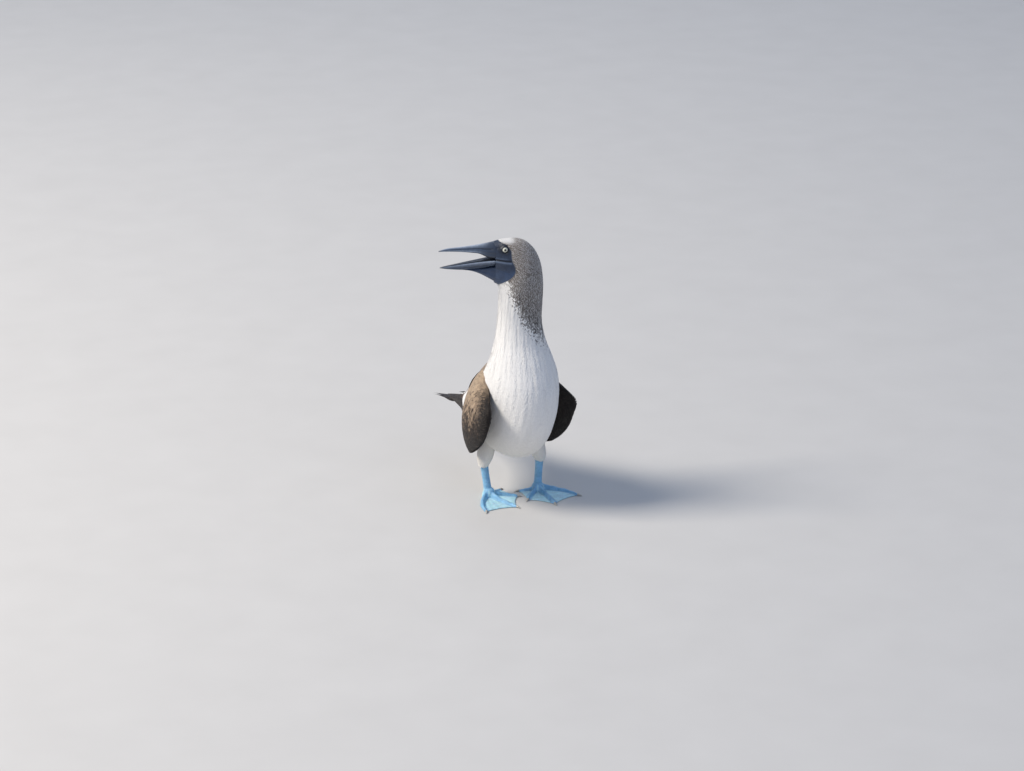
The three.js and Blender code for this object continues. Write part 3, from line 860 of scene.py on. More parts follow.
def golden_scatter(surface, v_range, count, seed, density=None):
    """Even roots: steps by two irrational shares, mapped through sums of the surface's area. Gives their v
    and turn and the seeded source of the random draws that vary them."""
    v_grid = np.linspace(*v_range, SCATTER_ROWS)
    turn_grid = np.linspace(0, TWO_PI, SCATTER_COLUMNS)
    v, turn = np.meshgrid(v_grid, turn_grid, indexing="ij")
    _, slope_v, slope_turn, _ = surface_frame(surface, v, turn)
    area = np.linalg.norm(np.cross(slope_v, slope_turn), axis=-1)
    if density is not None:
        area = area * density(surface(v, turn))
    by_row = np.cumsum(area.sum(axis=1))
    by_turn = np.cumsum(area, axis=1) / np.maximum(area.sum(axis=1, keepdims=True), 1e-9)
    order = np.arange(count)
    a, b = ((0.5 + order * step) % 1 for step in EVEN_STEPS)
    found = np.interp(a, by_row / by_row[-1], v_grid)
    last = SCATTER_ROWS - 1
    row = np.clip(np.round((found - v_range[0]) / (v_range[1] - v_range[0]) * last).astype(int), 0, last)
    ladder = (by_turn + 2 * np.arange(SCATTER_ROWS)[:, None]).ravel()
    round_it = np.interp(b + 2 * row, ladder, np.tile(turn_grid, SCATTER_ROWS))
    return found, round_it, np.random.default_rng(seed)


def patches(vane_shape, u, w):
    """Maps: OFBake puts each vane on a small patch at its root's place, Vane runs across 0..1 and along
    0..1."""
    count, rows, columns = vane_shape
    across, up = np.meshgrid(np.linspace(0, 1, columns), row_shares(rows))
    own = np.broadcast_to(np.stack([across, up], axis=-1), (count, rows, columns, 2))
    root = np.clip(np.stack([u, w], axis=-1), BAKE_PATCH, 1 - BAKE_PATCH)
    bake = root[:, None, None] + (own - 0.5) * BAKE_PATCH
    return {"OFBake": bake.reshape(-1, 2), "Vane": own.reshape(-1, 2)}


def coat_piece(name, material, slot, vanes, u, w, looks, *nodes):
    """One joined mesh of vanes with its maps; looks holds plume and pale colours and marks by vane."""
    count, rows, columns, _ = vanes.shape
    each = rows * columns
    spread = {key: np.repeat(np.broadcast_to(value, (count, *np.shape(value)[1:])), each, axis=0)
              for key, value in looks.items()}
    made = mesh_object(name, vanes.reshape(-1, 3), vane_faces(count, rows, columns),
                       patches((count, rows, columns), u, w), spread)
    sharpen_rims(made.data, rows, columns)
    finish_piece(made, material, slot, *nodes)


# %% [markdown]
# ## Feather material
# A vane is two rows of barbs on a shaft. Each vane has its own colour, a second pale colour for the streak
# along its shaft and for its fringe, and marks that say how strong each is. The barbs are fine slanting
# ridges: a sine over the vane's own map gives both their faint tone and their bump. Real barbs lie a few
# tenths of a millimetre apart, too fine to show, so they are drawn about a millimetre apart. Dry keratin is
# matt, with a soft sheen at the edges where barbules catch the light.

# %% Feather material
def feather_material(name, barbs, rough, ridge, gloss=0.3, sheen=0.25):
    """Mix of plume and pale colours by masks on the vane's map, with slanting barbs as tone and bump."""
    material, tree, surface = new_material(name, Roughness=rough, IOR=1.54, Sheen_Weight=sheen,
                                           Sheen_Roughness=0.5, Specular_IOR_Level=gloss)
    plume, pale = (add(tree, "Attribute", attribute_name=key) for key in ("plume", "pale"))
    lance, fringe, shade = (add(tree, "Attribute", out=2, attribute_name=key)
                            for key in ("lance", "fringe", "shade"))
    parted = add(tree, "SeparateXYZ", {0: add(tree, "UVMap", uv_map="Vane")}).node
    off = add(tree, "Math", {0: parted.outputs[0], 1: 0.5}, operation="SUBTRACT")
    off = add(tree, "Math", {0: off}, operation="ABSOLUTE")
    streak = add(tree, "MapRange", {0: off, 1: 0.12, 2: 0.26, 3: 1.0, 4: 0.0})
    streak = add(tree, "Math", {0: streak, 1: lance}, operation="MULTIPLY")
    tip = add(tree, "MapRange", {0: parted.outputs[1], 1: 0.84, 2: 0.98})
    edge = add(tree, "MapRange", {0: off, 1: 0.36, 2: 0.48})
    edge = add(tree, "Math", {0: tip, 1: edge}, operation="MAXIMUM")
    edge = add(tree, "Math", {0: edge, 1: fringe}, operation="MULTIPLY")
    paler = add(tree, "Math", {0: streak, 1: edge}, operation="MAXIMUM")
    colour = add(tree, "Mix", {0: paler, 6: plume, 7: pale}, 2, data_type="RGBA")
    slant = add(tree, "Math", {0: off, 1: -0.5, 2: parted.outputs[1]}, operation="MULTIPLY_ADD")
    wave = add(tree, "Math", {0: slant, 1: barbs * TWO_PI}, operation="MULTIPLY")
    wave = add(tree, "Math", {0: wave}, operation="SINE")
    shaft = add(tree, "MapRange", {0: off, 1: 0.0, 2: 0.045, 3: 1.0, 4: 0.0})
    tone = add(tree, "MapRange", {0: wave, 1: -1.0, 2: 1.0, 3: 0.93, 4: 1.03})
    tone = add(tree, "Math", {0: tone, 1: shade}, operation="MULTIPLY")
    height = add(tree, "Math", {0: shaft, 1: 3.0, 2: wave}, operation="MULTIPLY_ADD")
    dress(tree, surface, colour, tone, None, height, ridge, 0.0002)
    return material


contour = feather_material("soft_contour_feathers_matt_barbs", 16, 0.78, 0.35)
covert = feather_material("wing_covert_feathers_brown_fringed", 22, 0.66, 0.4, 0.22, 0.06)
quill = feather_material("flight_feathers_dark_satin_barbs", 150, 0.5, 0.5, 0.35, 0.03)

# %% [markdown]
# ## The coat of body, neck and head
# The feathers are smallest on the face and grow towards the belly. The coat is laid in eight regions from
# rump to crown, and each becomes one piece. On head and hind neck a vane is brown with a white lance along
# its shaft, so the streaks are real feathers.

# %% Looks by place
def coat_looks(place, rng):
    """Colour by vane: white, tinted cream low down as painted light bounced from the floor, streaked brown
    above, mantle brown behind, each a little varied."""
    count = len(place)
    ahead, high, _ = head_measure(place)
    streaked = ramp(streak_share(place) * 1.1 + 0.9 * (rng.random(count) - 0.5), 0.45, 0.6)
    brown = blend(SLATE_BROWN, UMBER, ramp(place[:, 2], 330, 420))
    brown = blend(brown, TAN, 0.7 * ramp(place[:, 2], 430, 480))
    brown = brown * rng.uniform(0.5, 1.05, count)[:, None]
    # Painted bounce light: the lowest feathers are tinted cream, as light reflected from the floor.
    base = blend(WHITE, FLOOR_BOUNCE_CREAM, 0.5 * (1 - ramp(place[:, 2], 70, 190)))
    forehead = ramp(ahead, -22, -6) * ramp(high, 6, 12)
    plume = blend(base, brown, streaked * (1 - 0.9 * forehead))
    mantle = ramp(mantle_share(place) * 1.1 + 0.6 * (rng.random(count) - 0.5), 0.32, 0.75)
    back = blend(MANTLE, BUFF, 0.55 * ramp(place[:, 2], 185, 245)) * rng.uniform(0.65, 1.25, count)[:, None]
    plume = blend(plume, back, mantle)
    lance = streaked * rng.uniform(0.05, 0.85, count)
    fringe = np.maximum(mantle * rng.uniform(0.1, 0.5, count), 0.1 * streaked)
    shade = rng.uniform(0.97, 1.02, count)
    pale = blend(WHITE, FRINGE, mantle)
    return {"plume": plume, "pale": pale, "lance": lance, "fringe": fringe, "shade": shade}


def not_bare(place):
    """1 on the feathered part, 0 on the bare face."""
    return (bare_face(place) < -0.6).astype(float)


def clumps(v, turn):
    """Soft ropes down neck and breast: three waves round the body whose phases drift along it, from -1 to
    1."""
    waves = [np.sin(turn * count + v * drift + count) for count, drift in ((15, 11), (24, -17), (37, 29))]
    return sum(waves) / 3 * ramp(v, 0.3, 0.55) * (1 - ramp(v, 0.98, 1.06))


def coat_region(name, v_range, count, length, width, lift, outline, seed):
    """Scatters roots over a range of the body and lays its vanes; lengths run from the range's start to
    end."""
    v, turn, rng = golden_scatter(body, v_range, count, seed, not_bare)
    share = (v - v_range[0]) / (v_range[1] - v_range[0])
    jitter = rng.normal(0, 1, (4, count))
    long = np.interp(share, [0, 1], length) * (1 + 0.12 * jitter[0])
    wide = np.interp(share, [0, 1], width) * (1 + 0.1 * jitter[1])
    root = body(v, turn)
    keep = not_bare(root) > 0
    v, turn, share, long, wide, root = (values[keep] for values in (v, turn, share, long, wide, root))
    depth = coat_depth(v, root)
    sway = 0.05 * jitter[2][keep]
    rise = lift * (1 + 0.2 * jitter[3][keep]) + 0.75 * clumps(v, turn)
    vanes = lay_vanes(body, v, turn, -1, sway, long, wide, depth, rise, outline)
    coat_piece(name, contour, "white_feathers", vanes, turn / TWO_PI, share, coat_looks(root, rng))


FIRST_SEED = 11
REGIONS = [
    ("coat_rump", (0.0, 0.2), 3200, (22, 18), (9, 8), 0.5, ROUND_TIP),
    ("coat_belly", (0.2, 0.36), 5200, (18, 17), (8, 7.5), 0.45, ROUND_TIP),
    ("coat_trunk", (0.36, 0.5), 6400, (17, 15), (7.5, 6.5), 0.45, ROUND_TIP),
    ("coat_breast", (0.5, 0.68), 7400, (15, 12), (6.5, 5.2), 0.45, ROUND_TIP),
    ("coat_neck_lower", (0.68, 0.84), 7600, (13, 11), (5.4, 4.4), 0.4, DOWNY_TIP),
    ("coat_neck_upper", (0.84, 1.0), 7900, (11, 8.8), (4.2, 3.2), 0.35, LANCE_TIP),
    ("coat_nape", (1.0, 1.122), 7800, (8.5, 7.2), (2.9, 2.5), 0.3, LANCE_TIP),
    ("coat_crown", (1.122, 1.281), 7600, (6.8, 3.2), (2.3, 1.5), 0.22, LANCE_TIP),
]
for seed, (name, v_range, count, length, width, lift, outline) in enumerate(REGIONS):
    coat_region(name, v_range, count, length, width, lift, outline, seed + FIRST_SEED)

# %% [markdown]
# ## Thighs
# Short soft white feathers hang down round each thigh to a ragged hem over the blue shank.

# %% Thigh feathers
HEM_TUCK = 2.8
THIGH_VANES = 2700
THIGH_ROOTS = 0.03, 0.95


def thigh_coat(leg, s, turn):
    """The thigh's tube, drawn in towards the shank at its hem by a smooth step."""
    tuck = HEM_TUCK * (1 - ramp(s, -0.1, 0.16))
    return thigh_rim(leg, s, turn) - points(np.cos(turn), 1.15 * np.sin(turn), 0) * tuck[..., None]


for side, leg in LEGS.items():
    shape = lambda s, turn: thigh_coat(leg, s, turn)
    v, turn, rng = golden_scatter(shape, THIGH_ROOTS, THIGH_VANES, seed=31)
    long = rng.uniform(7, 11, len(v)) * np.interp(v, [0, 0.15], [0.65, 1])
    wide = rng.uniform(2.4, 3.8, len(v))
    rise = rng.uniform(0.1, 0.6, len(v))
    sway = rng.normal(0, 0.12, len(v))
    vanes = lay_vanes(shape, v, turn, -1, sway, long, wide, 2.0, rise, DOWNY_TIP)
    looks = coat_looks(shape(v, turn), rng)
    coat_piece(f"coat_thigh_{side}", contour, "white_feathers", vanes, turn / TWO_PI, v, looks)

# %% [markdown]
# ## Wings
# A folded wing is rows of shingles. Small coverts lie on the shoulder, larger ones below and behind, and
# from under them come the secondaries and the long primaries that cross over the rump. Wear bleaches the
# upper shoulder to buff, and painted light adds to it: the right wing, which faces the light, is painted
# much paler on top, and the left wing is painted darker all over, as in shade. The lower edge and the
# quills stay nearly black. The coat of coverts is scattered on the wing's slices like the body's; the quills
# are laid one by one with more rows, fanned from top to bottom edge.

# %% Wing coverts
def wing_looks(t, turn, rng, painted_light):
    """Buff at the top of the shoulder through brown to near black at the lower edge, with pale fringes. The
    buff is partly wear and partly painted light; the last argument says how much painted light the wing gets,
    and a low value paints the whole wing darker, as shade.
    """
    count = len(t)
    high = np.cos(turn)
    outer = np.sin(turn) > -0.1
    blur = 0.24 * rng.normal(0, 1, count)
    back = ramp(t + 0.05 * blur, 0.02, 0.17)
    # Worn buff plus painted light: the upper outer shoulder is painted paler, the more so on the wing painted
    # as lit.
    worn_and_lit_buff = painted_light * ramp(high + blur, -0.15, 0.75) * back * (1 - ramp(t, 0.34, 0.6)) * outer
    # Painted shade: a wing given less painted light is also darker brown all over.
    brown = ramp(high + blur, -0.6, 0.25) * (0.05 + 0.95 * back) * (0.15 + 0.85 * painted_light)
    tone = blend(np.broadcast_to(BLACK_BROWN, (count, 3)), BROWN, brown)
    tone = blend(tone, BUFF, worn_and_lit_buff) * rng.uniform(0.72, 1.22, count)[:, None]
    fringe = np.clip(0.05 + 0.2 * worn_and_lit_buff + 0.1 * rng.normal(0, 1, count), 0, 0.5)
    return {"plume": tone, "pale": np.broadcast_to(FRINGE * 0.65, tone.shape), "lance": 0.15 * worn_and_lit_buff,
            "fringe": fringe, "shade": rng.uniform(0.88, 1.06, count)}


COVERT_ROOTS = -0.022, 0.62
COVERTS = 8100
COVERT_STOPS = [-0.02, 0.03, 0.12, 0.5, 0.62]
COVERT_LENGTH = [6, 10, 20, 36, 42]
COVERT_WIDTH = [2.6, 3.6, 6, 9.5, 11]
# Painted light by wing: the right wing, which faces the light, is painted paler; the left wing is painted
# darker, as in shade.
PAINTED_LIGHT_BY_WING = {"left": 0.25, "right": 1.0}

for side, leg in LEGS.items():
    shape = lambda t, turn: wing_rim(leg["out"], t, turn)
    v, turn, rng = golden_scatter(shape, COVERT_ROOTS, COVERTS, seed=41)
    long = np.interp(v, COVERT_STOPS, COVERT_LENGTH) * rng.uniform(0.85, 1.1, len(v))
    wide = np.interp(v, COVERT_STOPS, COVERT_WIDTH) * rng.uniform(0.85, 1.1, len(v))
    wide = wide * (0.35 + 0.65 * np.minimum(1, 2.2 * np.abs(np.sin(turn))))
    downward = 0.14 + 1.05 * (1 - ramp(v, 0.08, 0.5)) * ramp(v, -0.01, 0.08)
    sway = rng.normal(0, 0.05, len(v)) + np.sin(turn) * downward
    rise = rng.uniform(0.45, 0.85, len(v))
    vanes = lay_vanes(shape, v, turn, 1, sway, long, wide, 2.4, rise, ROUND_TIP)
    looks = wing_looks(v, turn, rng, PAINTED_LIGHT_BY_WING[side])
    share = (v - COVERT_ROOTS[0]) / (COVERT_ROOTS[1] - COVERT_ROOTS[0])
    coat_piece(f"coat_wing_{side}", covert, "wing_feathers", vanes, turn / TWO_PI % 1, share, looks)

# %% [markdown]
# ## Quills
# Each quill is a long narrow vane with a visible shaft, and each overlaps the next like a closed fan. A
# wing has three fans: primaries, secondaries, and the ones on its inner side. Their roots are hidden under
# the coverts, and their tips step back one behind the other. The tail has one fan above and one below.

# %% Quills of wings and tail
QUILL = [0.3, 0.55, 0.8, 0.95, 1.0, 1.0, 1.0, 0.97, 0.9, 0.76, 0.5, 0.06]
QUILL_DARK, QUILL_WORN = tint("211a17"), tint("6d6056")


def quill_looks(count, rng):
    """Black brown with a slightly paler worn edge."""
    tone = QUILL_DARK * rng.uniform(0.7, 1.25, count)[:, None]
    return {"plume": tone, "pale": np.broadcast_to(QUILL_WORN, (count, 3)),
            "lance": np.zeros(count), "fringe": rng.uniform(0.05, 0.25, count), "shade": np.ones(count)}


def fans(ends, counts):
    """Evenly stepped values from start to end, one fan after the other."""
    return np.concatenate([np.linspace(*pair, count) for pair, count in zip(ends, counts)])


WING_RUN = 400
WING_FANS = 11, 13, 10
for side, leg in LEGS.items():
    shape = lambda t, turn: wing_rim(leg["out"], t, turn)
    rng = np.random.default_rng(51)
    turn = fans([(0.5, 2.5), (0.3, 2.7), (3.8, 5.7)], WING_FANS)
    start = fans([(0.42, 0.5), (0.2, 0.34), (0.3, 0.5)], WING_FANS)
    stop = fans([(0.91, 0.77), (0.62, 0.6), (0.89, 0.8)], WING_FANS)
    wide = fans([(17, 17), (21, 21), (17, 17)], WING_FANS)
    wide = wide * np.interp(stop, [0.6, 1], [1, 0.75]) * (0.45 + 0.55 * np.abs(np.sin(turn)))
    depth = fans([(1.0, 1.6), (1.2, 2.2), (1.2, 1.2)], WING_FANS)
    rise = fans([(0.6, -0.2), (1.0, 0.2), (0.2, 0.2)], WING_FANS)
    vanes = lay_vanes(shape, start, turn, 1, 0.0, (stop - start) * WING_RUN, wide, depth, rise, QUILL,
                      columns=5, camber=0.05, roll=0.1)
    looks = quill_looks(len(turn), rng)
    coat_piece(f"quills_{side}", quill, "flight_feathers", vanes, turn / TWO_PI, start, looks,
               f"primaries_{side}")

POINTED = [0.4, 0.75, 0.95, 1.0, 0.98, 0.92, 0.82, 0.68, 0.5, 0.32, 0.15, 0.02]
turn = fans([(0.12, np.pi - 0.12), (np.pi + 0.3, TWO_PI - 0.3)], (13, 9))
rng = np.random.default_rng(61)
off_middle = np.abs(np.cos(turn))
long = TAIL_LENGTH * (0.975 - 0.5 * off_middle ** 1.3)
vanes = lay_vanes(tail_rim, np.full(len(turn), 0.02), turn, 1, 0.0, long, 8 - 1.5 * off_middle, 1.2,
                  0.8 - 0.8 * off_middle, POINTED, columns=5, camber=0.04)
looks = quill_looks(len(turn), rng)
coat_piece("quills_tail", quill, "flight_feathers", vanes, turn / TWO_PI, np.full(len(turn), 0.5), looks,
           "tail")

# %% [markdown]
# ## Bill
# The bill is horn: a long wedge, rounded outside, with a groove along each side of the upper half where the
# nostrils of other birds would open, and a saw edge that holds fish. Each half is the jaw's formula with a
# finer grid and moves along the normal. Tone goes by place: a painted highlight along the culmen and the
# biting edges, slate at the root, painted shade in the side groove and on the faces where the two halves
# meet. Horn grows in fibres, so the bump is a noise that is drawn out lengthwise.

# %% Bill shapes
BILL_ROWS = np.linspace(0, 1, 180)
BILL_AROUND = 120


def bill_half(lines, flat_side, start, length):
    """The jaw's rim with a side groove, a plate line and a saw edge; gives the mesh and each point's share
    of the length and angle off the ridge, which is the upper half's top and the lower half's bottom."""
    shape = lambda s, turn: jaw_rim(lines, flat_side, start, length, s, turn)
    sign = outward_sign(shape)
    def off_ridge(turn):
        return np.abs((turn + (np.pi if flat_side < 0 else 0)) % TWO_PI - np.pi)
    def relief(s, turn):
        place, _, _, normal = surface_frame(shape, s, turn)
        off_top = off_ridge(turn)
        taper = along(lines["half"], s) / 16
        groove = -2.0 * taper * bell(off_top - 0.98, 0.08) * (1 - ramp(s, 0.72, 0.9)) * ramp(s, 0.02, 0.1)
        plate = -0.8 * taper * bell(off_top - 1.42, 0.06) * (1 - ramp(s, 0.4, 0.7))
        saw = np.abs((s * length / 1.9) % 1 - 0.5) - 0.25
        teeth = 0.5 * saw * bell(off_top - 1.72, 0.13) * ramp(s, 0.2, 0.35) * (1 - ramp(s, 0.93, 1))
        tuck = -0.7 * (1 - ramp(s, 0.0, 0.03))
        return place + normal * (sign * (groove + plate + teeth + tuck))[..., None]
    vertices, faces = loft(relief, BILL_ROWS, BILL_AROUND)
    s, turn = sleeve_grid(BILL_ROWS, BILL_AROUND)
    return vertices, faces, np.append(s, [0, 1]), np.append(off_ridge(turn), [np.pi / 2, np.pi / 2])


# The pale tone is a painted highlight, and the near-black tone is painted shade between the halves.
HORN, HORN_DARK, HORN_HIGHLIGHT, SHADE_BETWEEN_JAWS, WORN_TIP = (
    tint(code) for code in ("4a586c", "28303f", "adb8c7", "262a33", "8c877c"))


def horn_tone(s, off_top, upper):
    """Painted highlight along the ridge and the biting edges, slate root, painted shade in the groove and on
    the inner faces where the halves meet, and a worn tip.
    """
    tone = blend(HORN, HORN_DARK, 0.75 * (1 - ramp(s, 0.02, 0.4)) if upper else 0.35 * bell(s - 0.3, 0.25))
    # Painted highlight along the ridge, strong on the culmen.
    tone = blend(tone, HORN_HIGHLIGHT, (0.75 if upper else 0.1) * bell(off_top, 0.55) * ramp(s, 0.05, 0.3))
    # Painted highlight along the biting edges.
    edge = 0.6 * bell(off_top - 1.5, 0.2) * ramp(s, 0.1, 0.5) if upper else 0.95 * bell(off_top - 1.72, 0.28)
    tone = blend(tone, HORN_HIGHLIGHT, edge)
    # Painted shade in the side groove.
    tone = blend(tone, HORN_DARK, 0.8 * bell(off_top - 0.98, 0.09) * (1 - ramp(s, 0.7, 0.9)))
    # Painted shade on the inner faces where the two halves meet.
    tone = blend(tone, SHADE_BETWEEN_JAWS, ramp(off_top, 1.95, 2.3))
    return blend(tone, WORN_TIP, 0.5 * ramp(s, 0.93, 1.0))


horn, tree, surface = new_material("bill_horn_satin_fibres", IOR=1.55, Coat_Weight=0.15, Coat_Roughness=0.25)
tone = add(tree, "Attribute", attribute_name="tone")
run = add(tree, "UVMap", uv_map="Run")
drawn = add(tree, "Mapping", {"Vector": run, "Scale": (6.0, 90.0, 1.0)})
fibres = add(tree, "TexNoise", {"Vector": drawn, "Scale": 1.0, "Detail": 8.0, "Roughness": 0.65})
blots = {"Vector": add(tree, "TexCoord", out=3), "Scale": 240.0, "Detail": 5.0}
both = add(tree, "Math", {0: fibres, 1: add(tree, "TexNoise", blots)}, operation="ADD")
change = add(tree, "MapRange", {0: both, 1: 0.7, 2: 1.3, 3: 0.72, 4: 1.22})
rough = add(tree, "MapRange", {0: fibres, 3: 0.28, 4: 0.5})
dress(tree, surface, tone, change, rough, both, 0.35, 0.0003)

for name, lines, flat_side, length, upper in (("upper_bill_horn", UPPER_BILL, -1, BILL_LENGTH, True),
                                              ("lower_bill_horn", LOWER_BILL, 1, LOWER_LENGTH, False)):
    vertices, faces, s, off_top = bill_half(lines, flat_side, BILL_START, length)
    run_map = np.stack([s, off_top / np.pi], axis=-1)
    made = mesh_object(name, vertices, faces, {"Run": run_map}, {"tone": horn_tone(s, off_top, upper)})
    finish_piece(made, horn, "bill_horn", name[:-5])

# %% [markdown]
# ## Eyes
# The iris is a pale yellow ring with a small pupil on a ball whose cornea bulges a little, and the lids
# close round it as a dark wrinkled ring. The ball is a surface of revolution about the way the eye looks.
# The iris is drawn by its distance from that axis, and a clear coat on the ball stands for the wet cornea.

# %% Eyeballs
def eye_surface(side, s, turn):
    """A ball from its front pole (s 0) to its back, with a low cornea raised over the iris."""
    angle = s * np.pi
    cornea = 0.55 * (1 - ramp(angle, 0.1, 0.85))
    radius = EYE_RADIUS - 0.05 + cornea
    ring = radius * np.sin(angle)
    return head_place(ring * np.cos(turn), EYE_HIGH + ring * np.sin(turn),
                      side * (EYE_SIDE + radius * np.cos(angle)))


IRIS, IRIS_EDGE, PUPIL = (tint(code) for code in ("f3f1dd", "a9a184", "07080a"))
EYE_ROWS = np.linspace(0.012, 0.98, 90)
EYE_AROUND = 72
wet_eye, tree, surface = new_material("wet_eye_iris_and_pupil", Roughness=0.32, IOR=1.38, Coat_Weight=1.0,
                                      Coat_Roughness=0.02, Coat_IOR=1.38)
tone = add(tree, "Attribute", attribute_name="tone")
rays = add(tree, "UVMap", uv_map="Rays")
drawn = add(tree, "Mapping", {"Vector": rays, "Scale": (60.0, 3.0, 1.0)})
threads = add(tree, "TexNoise", {"Vector": drawn, "Scale": 1.0, "Detail": 4.0})
change = add(tree, "MapRange", {0: threads, 1: 0.3, 2: 0.7, 3: 0.8, 4: 1.1})
dress(tree, surface, tone, change, None, threads, 0.15, 0.0002)

for side_name, side in SIDES.items():
    vertices, faces = loft(lambda s, turn: eye_surface(side, s, turn), EYE_ROWS, EYE_AROUND)
    s, turn = (np.append(values, ends) for values, ends in
               zip(sleeve_grid(EYE_ROWS, EYE_AROUND), ([0, 1], [0, 0])))
    off_axis = EYE_RADIUS * np.sin(s * np.pi)
    iris = blend(IRIS, IRIS_EDGE, 0.9 * ramp(off_axis, 3.9, 4.7) + 0.3 * (1 - ramp(off_axis, 1.9, 2.6)))
    tone = blend(PUPIL, iris, ramp(off_axis, 1.75, 2.0))
    tone = blend(tone, PUPIL, ramp(off_axis, 4.75, 5.1))
    tone = blend(tone, PUPIL, (s > 0.5).astype(float))
    rays_map = np.stack([turn / TWO_PI, s], axis=-1)
    ball = mesh_object(f"eyeball_{side_name}", vertices, faces, {"Rays": rays_map}, {"tone": tone})
    finish_piece(ball, wet_eye, "iris", f"eye_{side_name}")

# %% [markdown]
# ## Lids
# A rim of bare skin hugs the ball. In section it starts on the ball, rolls over in a small round edge and
# runs out into the face. Beads and short creases across it break the even ring.

# %% Eyelids
LID_SECTION_OFF = [4.65, 4.7, 5.0, 5.5, 6.2, 7.1, 8.0, 8.4]
LID_SECTION_OUT = [16.6, 18.4, 18.75, 18.6, 17.9, 16.6, 14.9, 12.5]
LID_ROWS = np.linspace(0, 1, 30)
LID_AROUND = 130


def lid_surface(side, s, turn):
    """Section of the lid by s, swept round the eye's axis; slightly almond, with beads along its edge."""
    off = along(LID_SECTION_OFF, s)
    beads = 0.12 * np.sin(turn * 26) * bell(s - 0.35, 0.14)
    creases = 0.07 * np.sin(turn * 11 + s * 9) * ramp(s, 0.4, 0.7)
    hood = 1.6 * ramp(np.sin(turn), 0.2, 1) * ramp(s, 0.45, 1)
    out = along(LID_SECTION_OUT, s) + beads + creases - hood
    almond = 1 + 0.05 * np.cos(2 * turn) * ramp(s, 0, 0.8)
    return head_place(off * almond * np.cos(turn), EYE_HIGH + off / almond * np.sin(turn), side * out)


for side_name, side in SIDES.items():
    vertices, (quads,) = loft(lambda s, turn: lid_surface(side, s, turn), LID_ROWS, LID_AROUND, caps=False)
    quads = quads if side < 0 else quads[:, ::-1]
    lid = mesh_object(f"eyelids_{side_name}", vertices, [quads])
    tone = blend(SLATE_DARK * 1.6, SLATE * 0.8, 0.6 * bell(np.repeat(LID_ROWS, LID_AROUND) - 0.42, 0.1))
    set_attributes(lid.data, {"hide": tone, "bare": np.ones(len(vertices))})
    finish_piece(lid, hide_skin, "face_skin")

# %% [markdown]
# ## Feet
# A booby's foot has all four toes joined by webs. Toes, webs and shank are separate simple shapes; a voxel
# remesh melts them into one skin with soft hollows where they meet. The skin between has small scales,
# drawn 1.4 mm wide. Scutes are then pressed into it: crosswise plates along each toe and up the shank, made
# by lowering the points between them.

# %% Toes, webs and shanks
TOES = {"outer": (79, -45, 9), "middle": (77, 0, 2), "inner": (54, 43, -2), "hind": (36, 100, 0)}
FRONT_TOE = {"wide": [7.5, 5, 4.2, 2.8], "tall": [15, 8, 5.6, 3.8]}
HIND_TOE = {"wide": [6, 4.4, 3.4, 2.2], "tall": [10, 6.5, 4.6, 3.2]}
WEB_TOP = 2.1
WEB_BOTTOM = 0.3
SCUTE = {"toe": 2.5, "shank": 2.7}
LINE_SAMPLES = 60
SHANK_RADIUS = [8.6, 7.2, 6.8, 6.8, 7.2, 8]
ANKLE = 9
VOXEL = 0.8


def toe_way(leg, toe):
    """The toe's direction on the floor."""
    angle = np.radians(leg["turn"] + TOES[toe][1])
    return np.array([-leg["out"] * np.sin(angle), -np.cos(angle), 0.0])


def across_way(way):
    """The level direction a quarter turn to the side of a way."""
    return np.array([-way[1], way[0], 0.0])


def toe_line(leg, toe, share):
    """The toe's middle line: straight out from the hub, bowed to the outer side by a parabola."""
    length, _, bow = TOES[toe]
    way = toe_way(leg, toe)
    outside = across_way(way) * leg["out"]
    share = np.asarray(share, float)[..., None]
    return np.array([*leg["hub"], 0.0]) + way * share * length + outside * bow * 4 * share * (1 - share)


def toe_surface(leg, toe, s, turn):
    """An arched back on a flat sole, with knuckles swelling where the bones meet."""
    way = toe_way(leg, toe)
    side = across_way(way)
    knuckles = 1 + 0.13 * (bell(s - 0.36, 0.06) + bell(s - 0.63, 0.06) + bell(s - 0.86, 0.05))
    size = HIND_TOE if toe == "hind" else FRONT_TOE
    wide = along(size["wide"], s) * 0.86 * knuckles
    tall = along(size["tall"], s) * knuckles
    tall = tall * np.sqrt(np.clip(1 - ramp(s, 0.93, 1.04) ** 2, 0, 1))
    place = toe_line(leg, toe, s) + side * (wide * np.cos(turn))[..., None]
    place[..., 2] = np.maximum(0, tall * np.sin(turn)) + 0.4
    return place


def web_sheet(leg, first, second):
    """A closed sheet between two toes: its edge hollows in, and its top ripples in folds that fan from the
    hub."""
    s, w = np.meshgrid(np.linspace(0.03, 0.985, 60), np.linspace(0, 1, 40), indexing="ij")
    a, b = toe_line(leg, first, s), toe_line(leg, second, s)
    hub = np.array([*leg["hub"], 0.0])
    flat = a + (b - a) * w[..., None]
    flat = hub + (flat - hub) * (1 - 0.07 * (4 * w * (1 - w)) * s)[..., None]
    folds = 0.35 * np.sin(w * 26 + s * 3) * ramp(s, 0.1, 0.5) * np.sin(w * np.pi)
    top = flat + points(0, 0, WEB_TOP + folds)
    bottom = flat + points(0, 0, WEB_BOTTOM)
    rows, columns = s.shape
    index = np.arange(rows * columns).reshape(rows, columns)
    tops = np.stack([index[:-1, :-1], index[:-1, 1:], index[1:, 1:], index[1:, :-1]], axis=-1).reshape(-1, 4)
    rim = np.concatenate([index[0, :-1], index[:-1, -1], index[-1, :0:-1], index[:0:-1, 0]])
    onward = np.roll(rim, -1)
    move = rows * columns
    walls = np.stack([rim, rim + move, onward + move, onward], axis=-1)
    vertices = np.concatenate([top.reshape(-1, 3), bottom.reshape(-1, 3)])
    return facing_out(vertices, [tops, tops[:, ::-1] + move, walls])


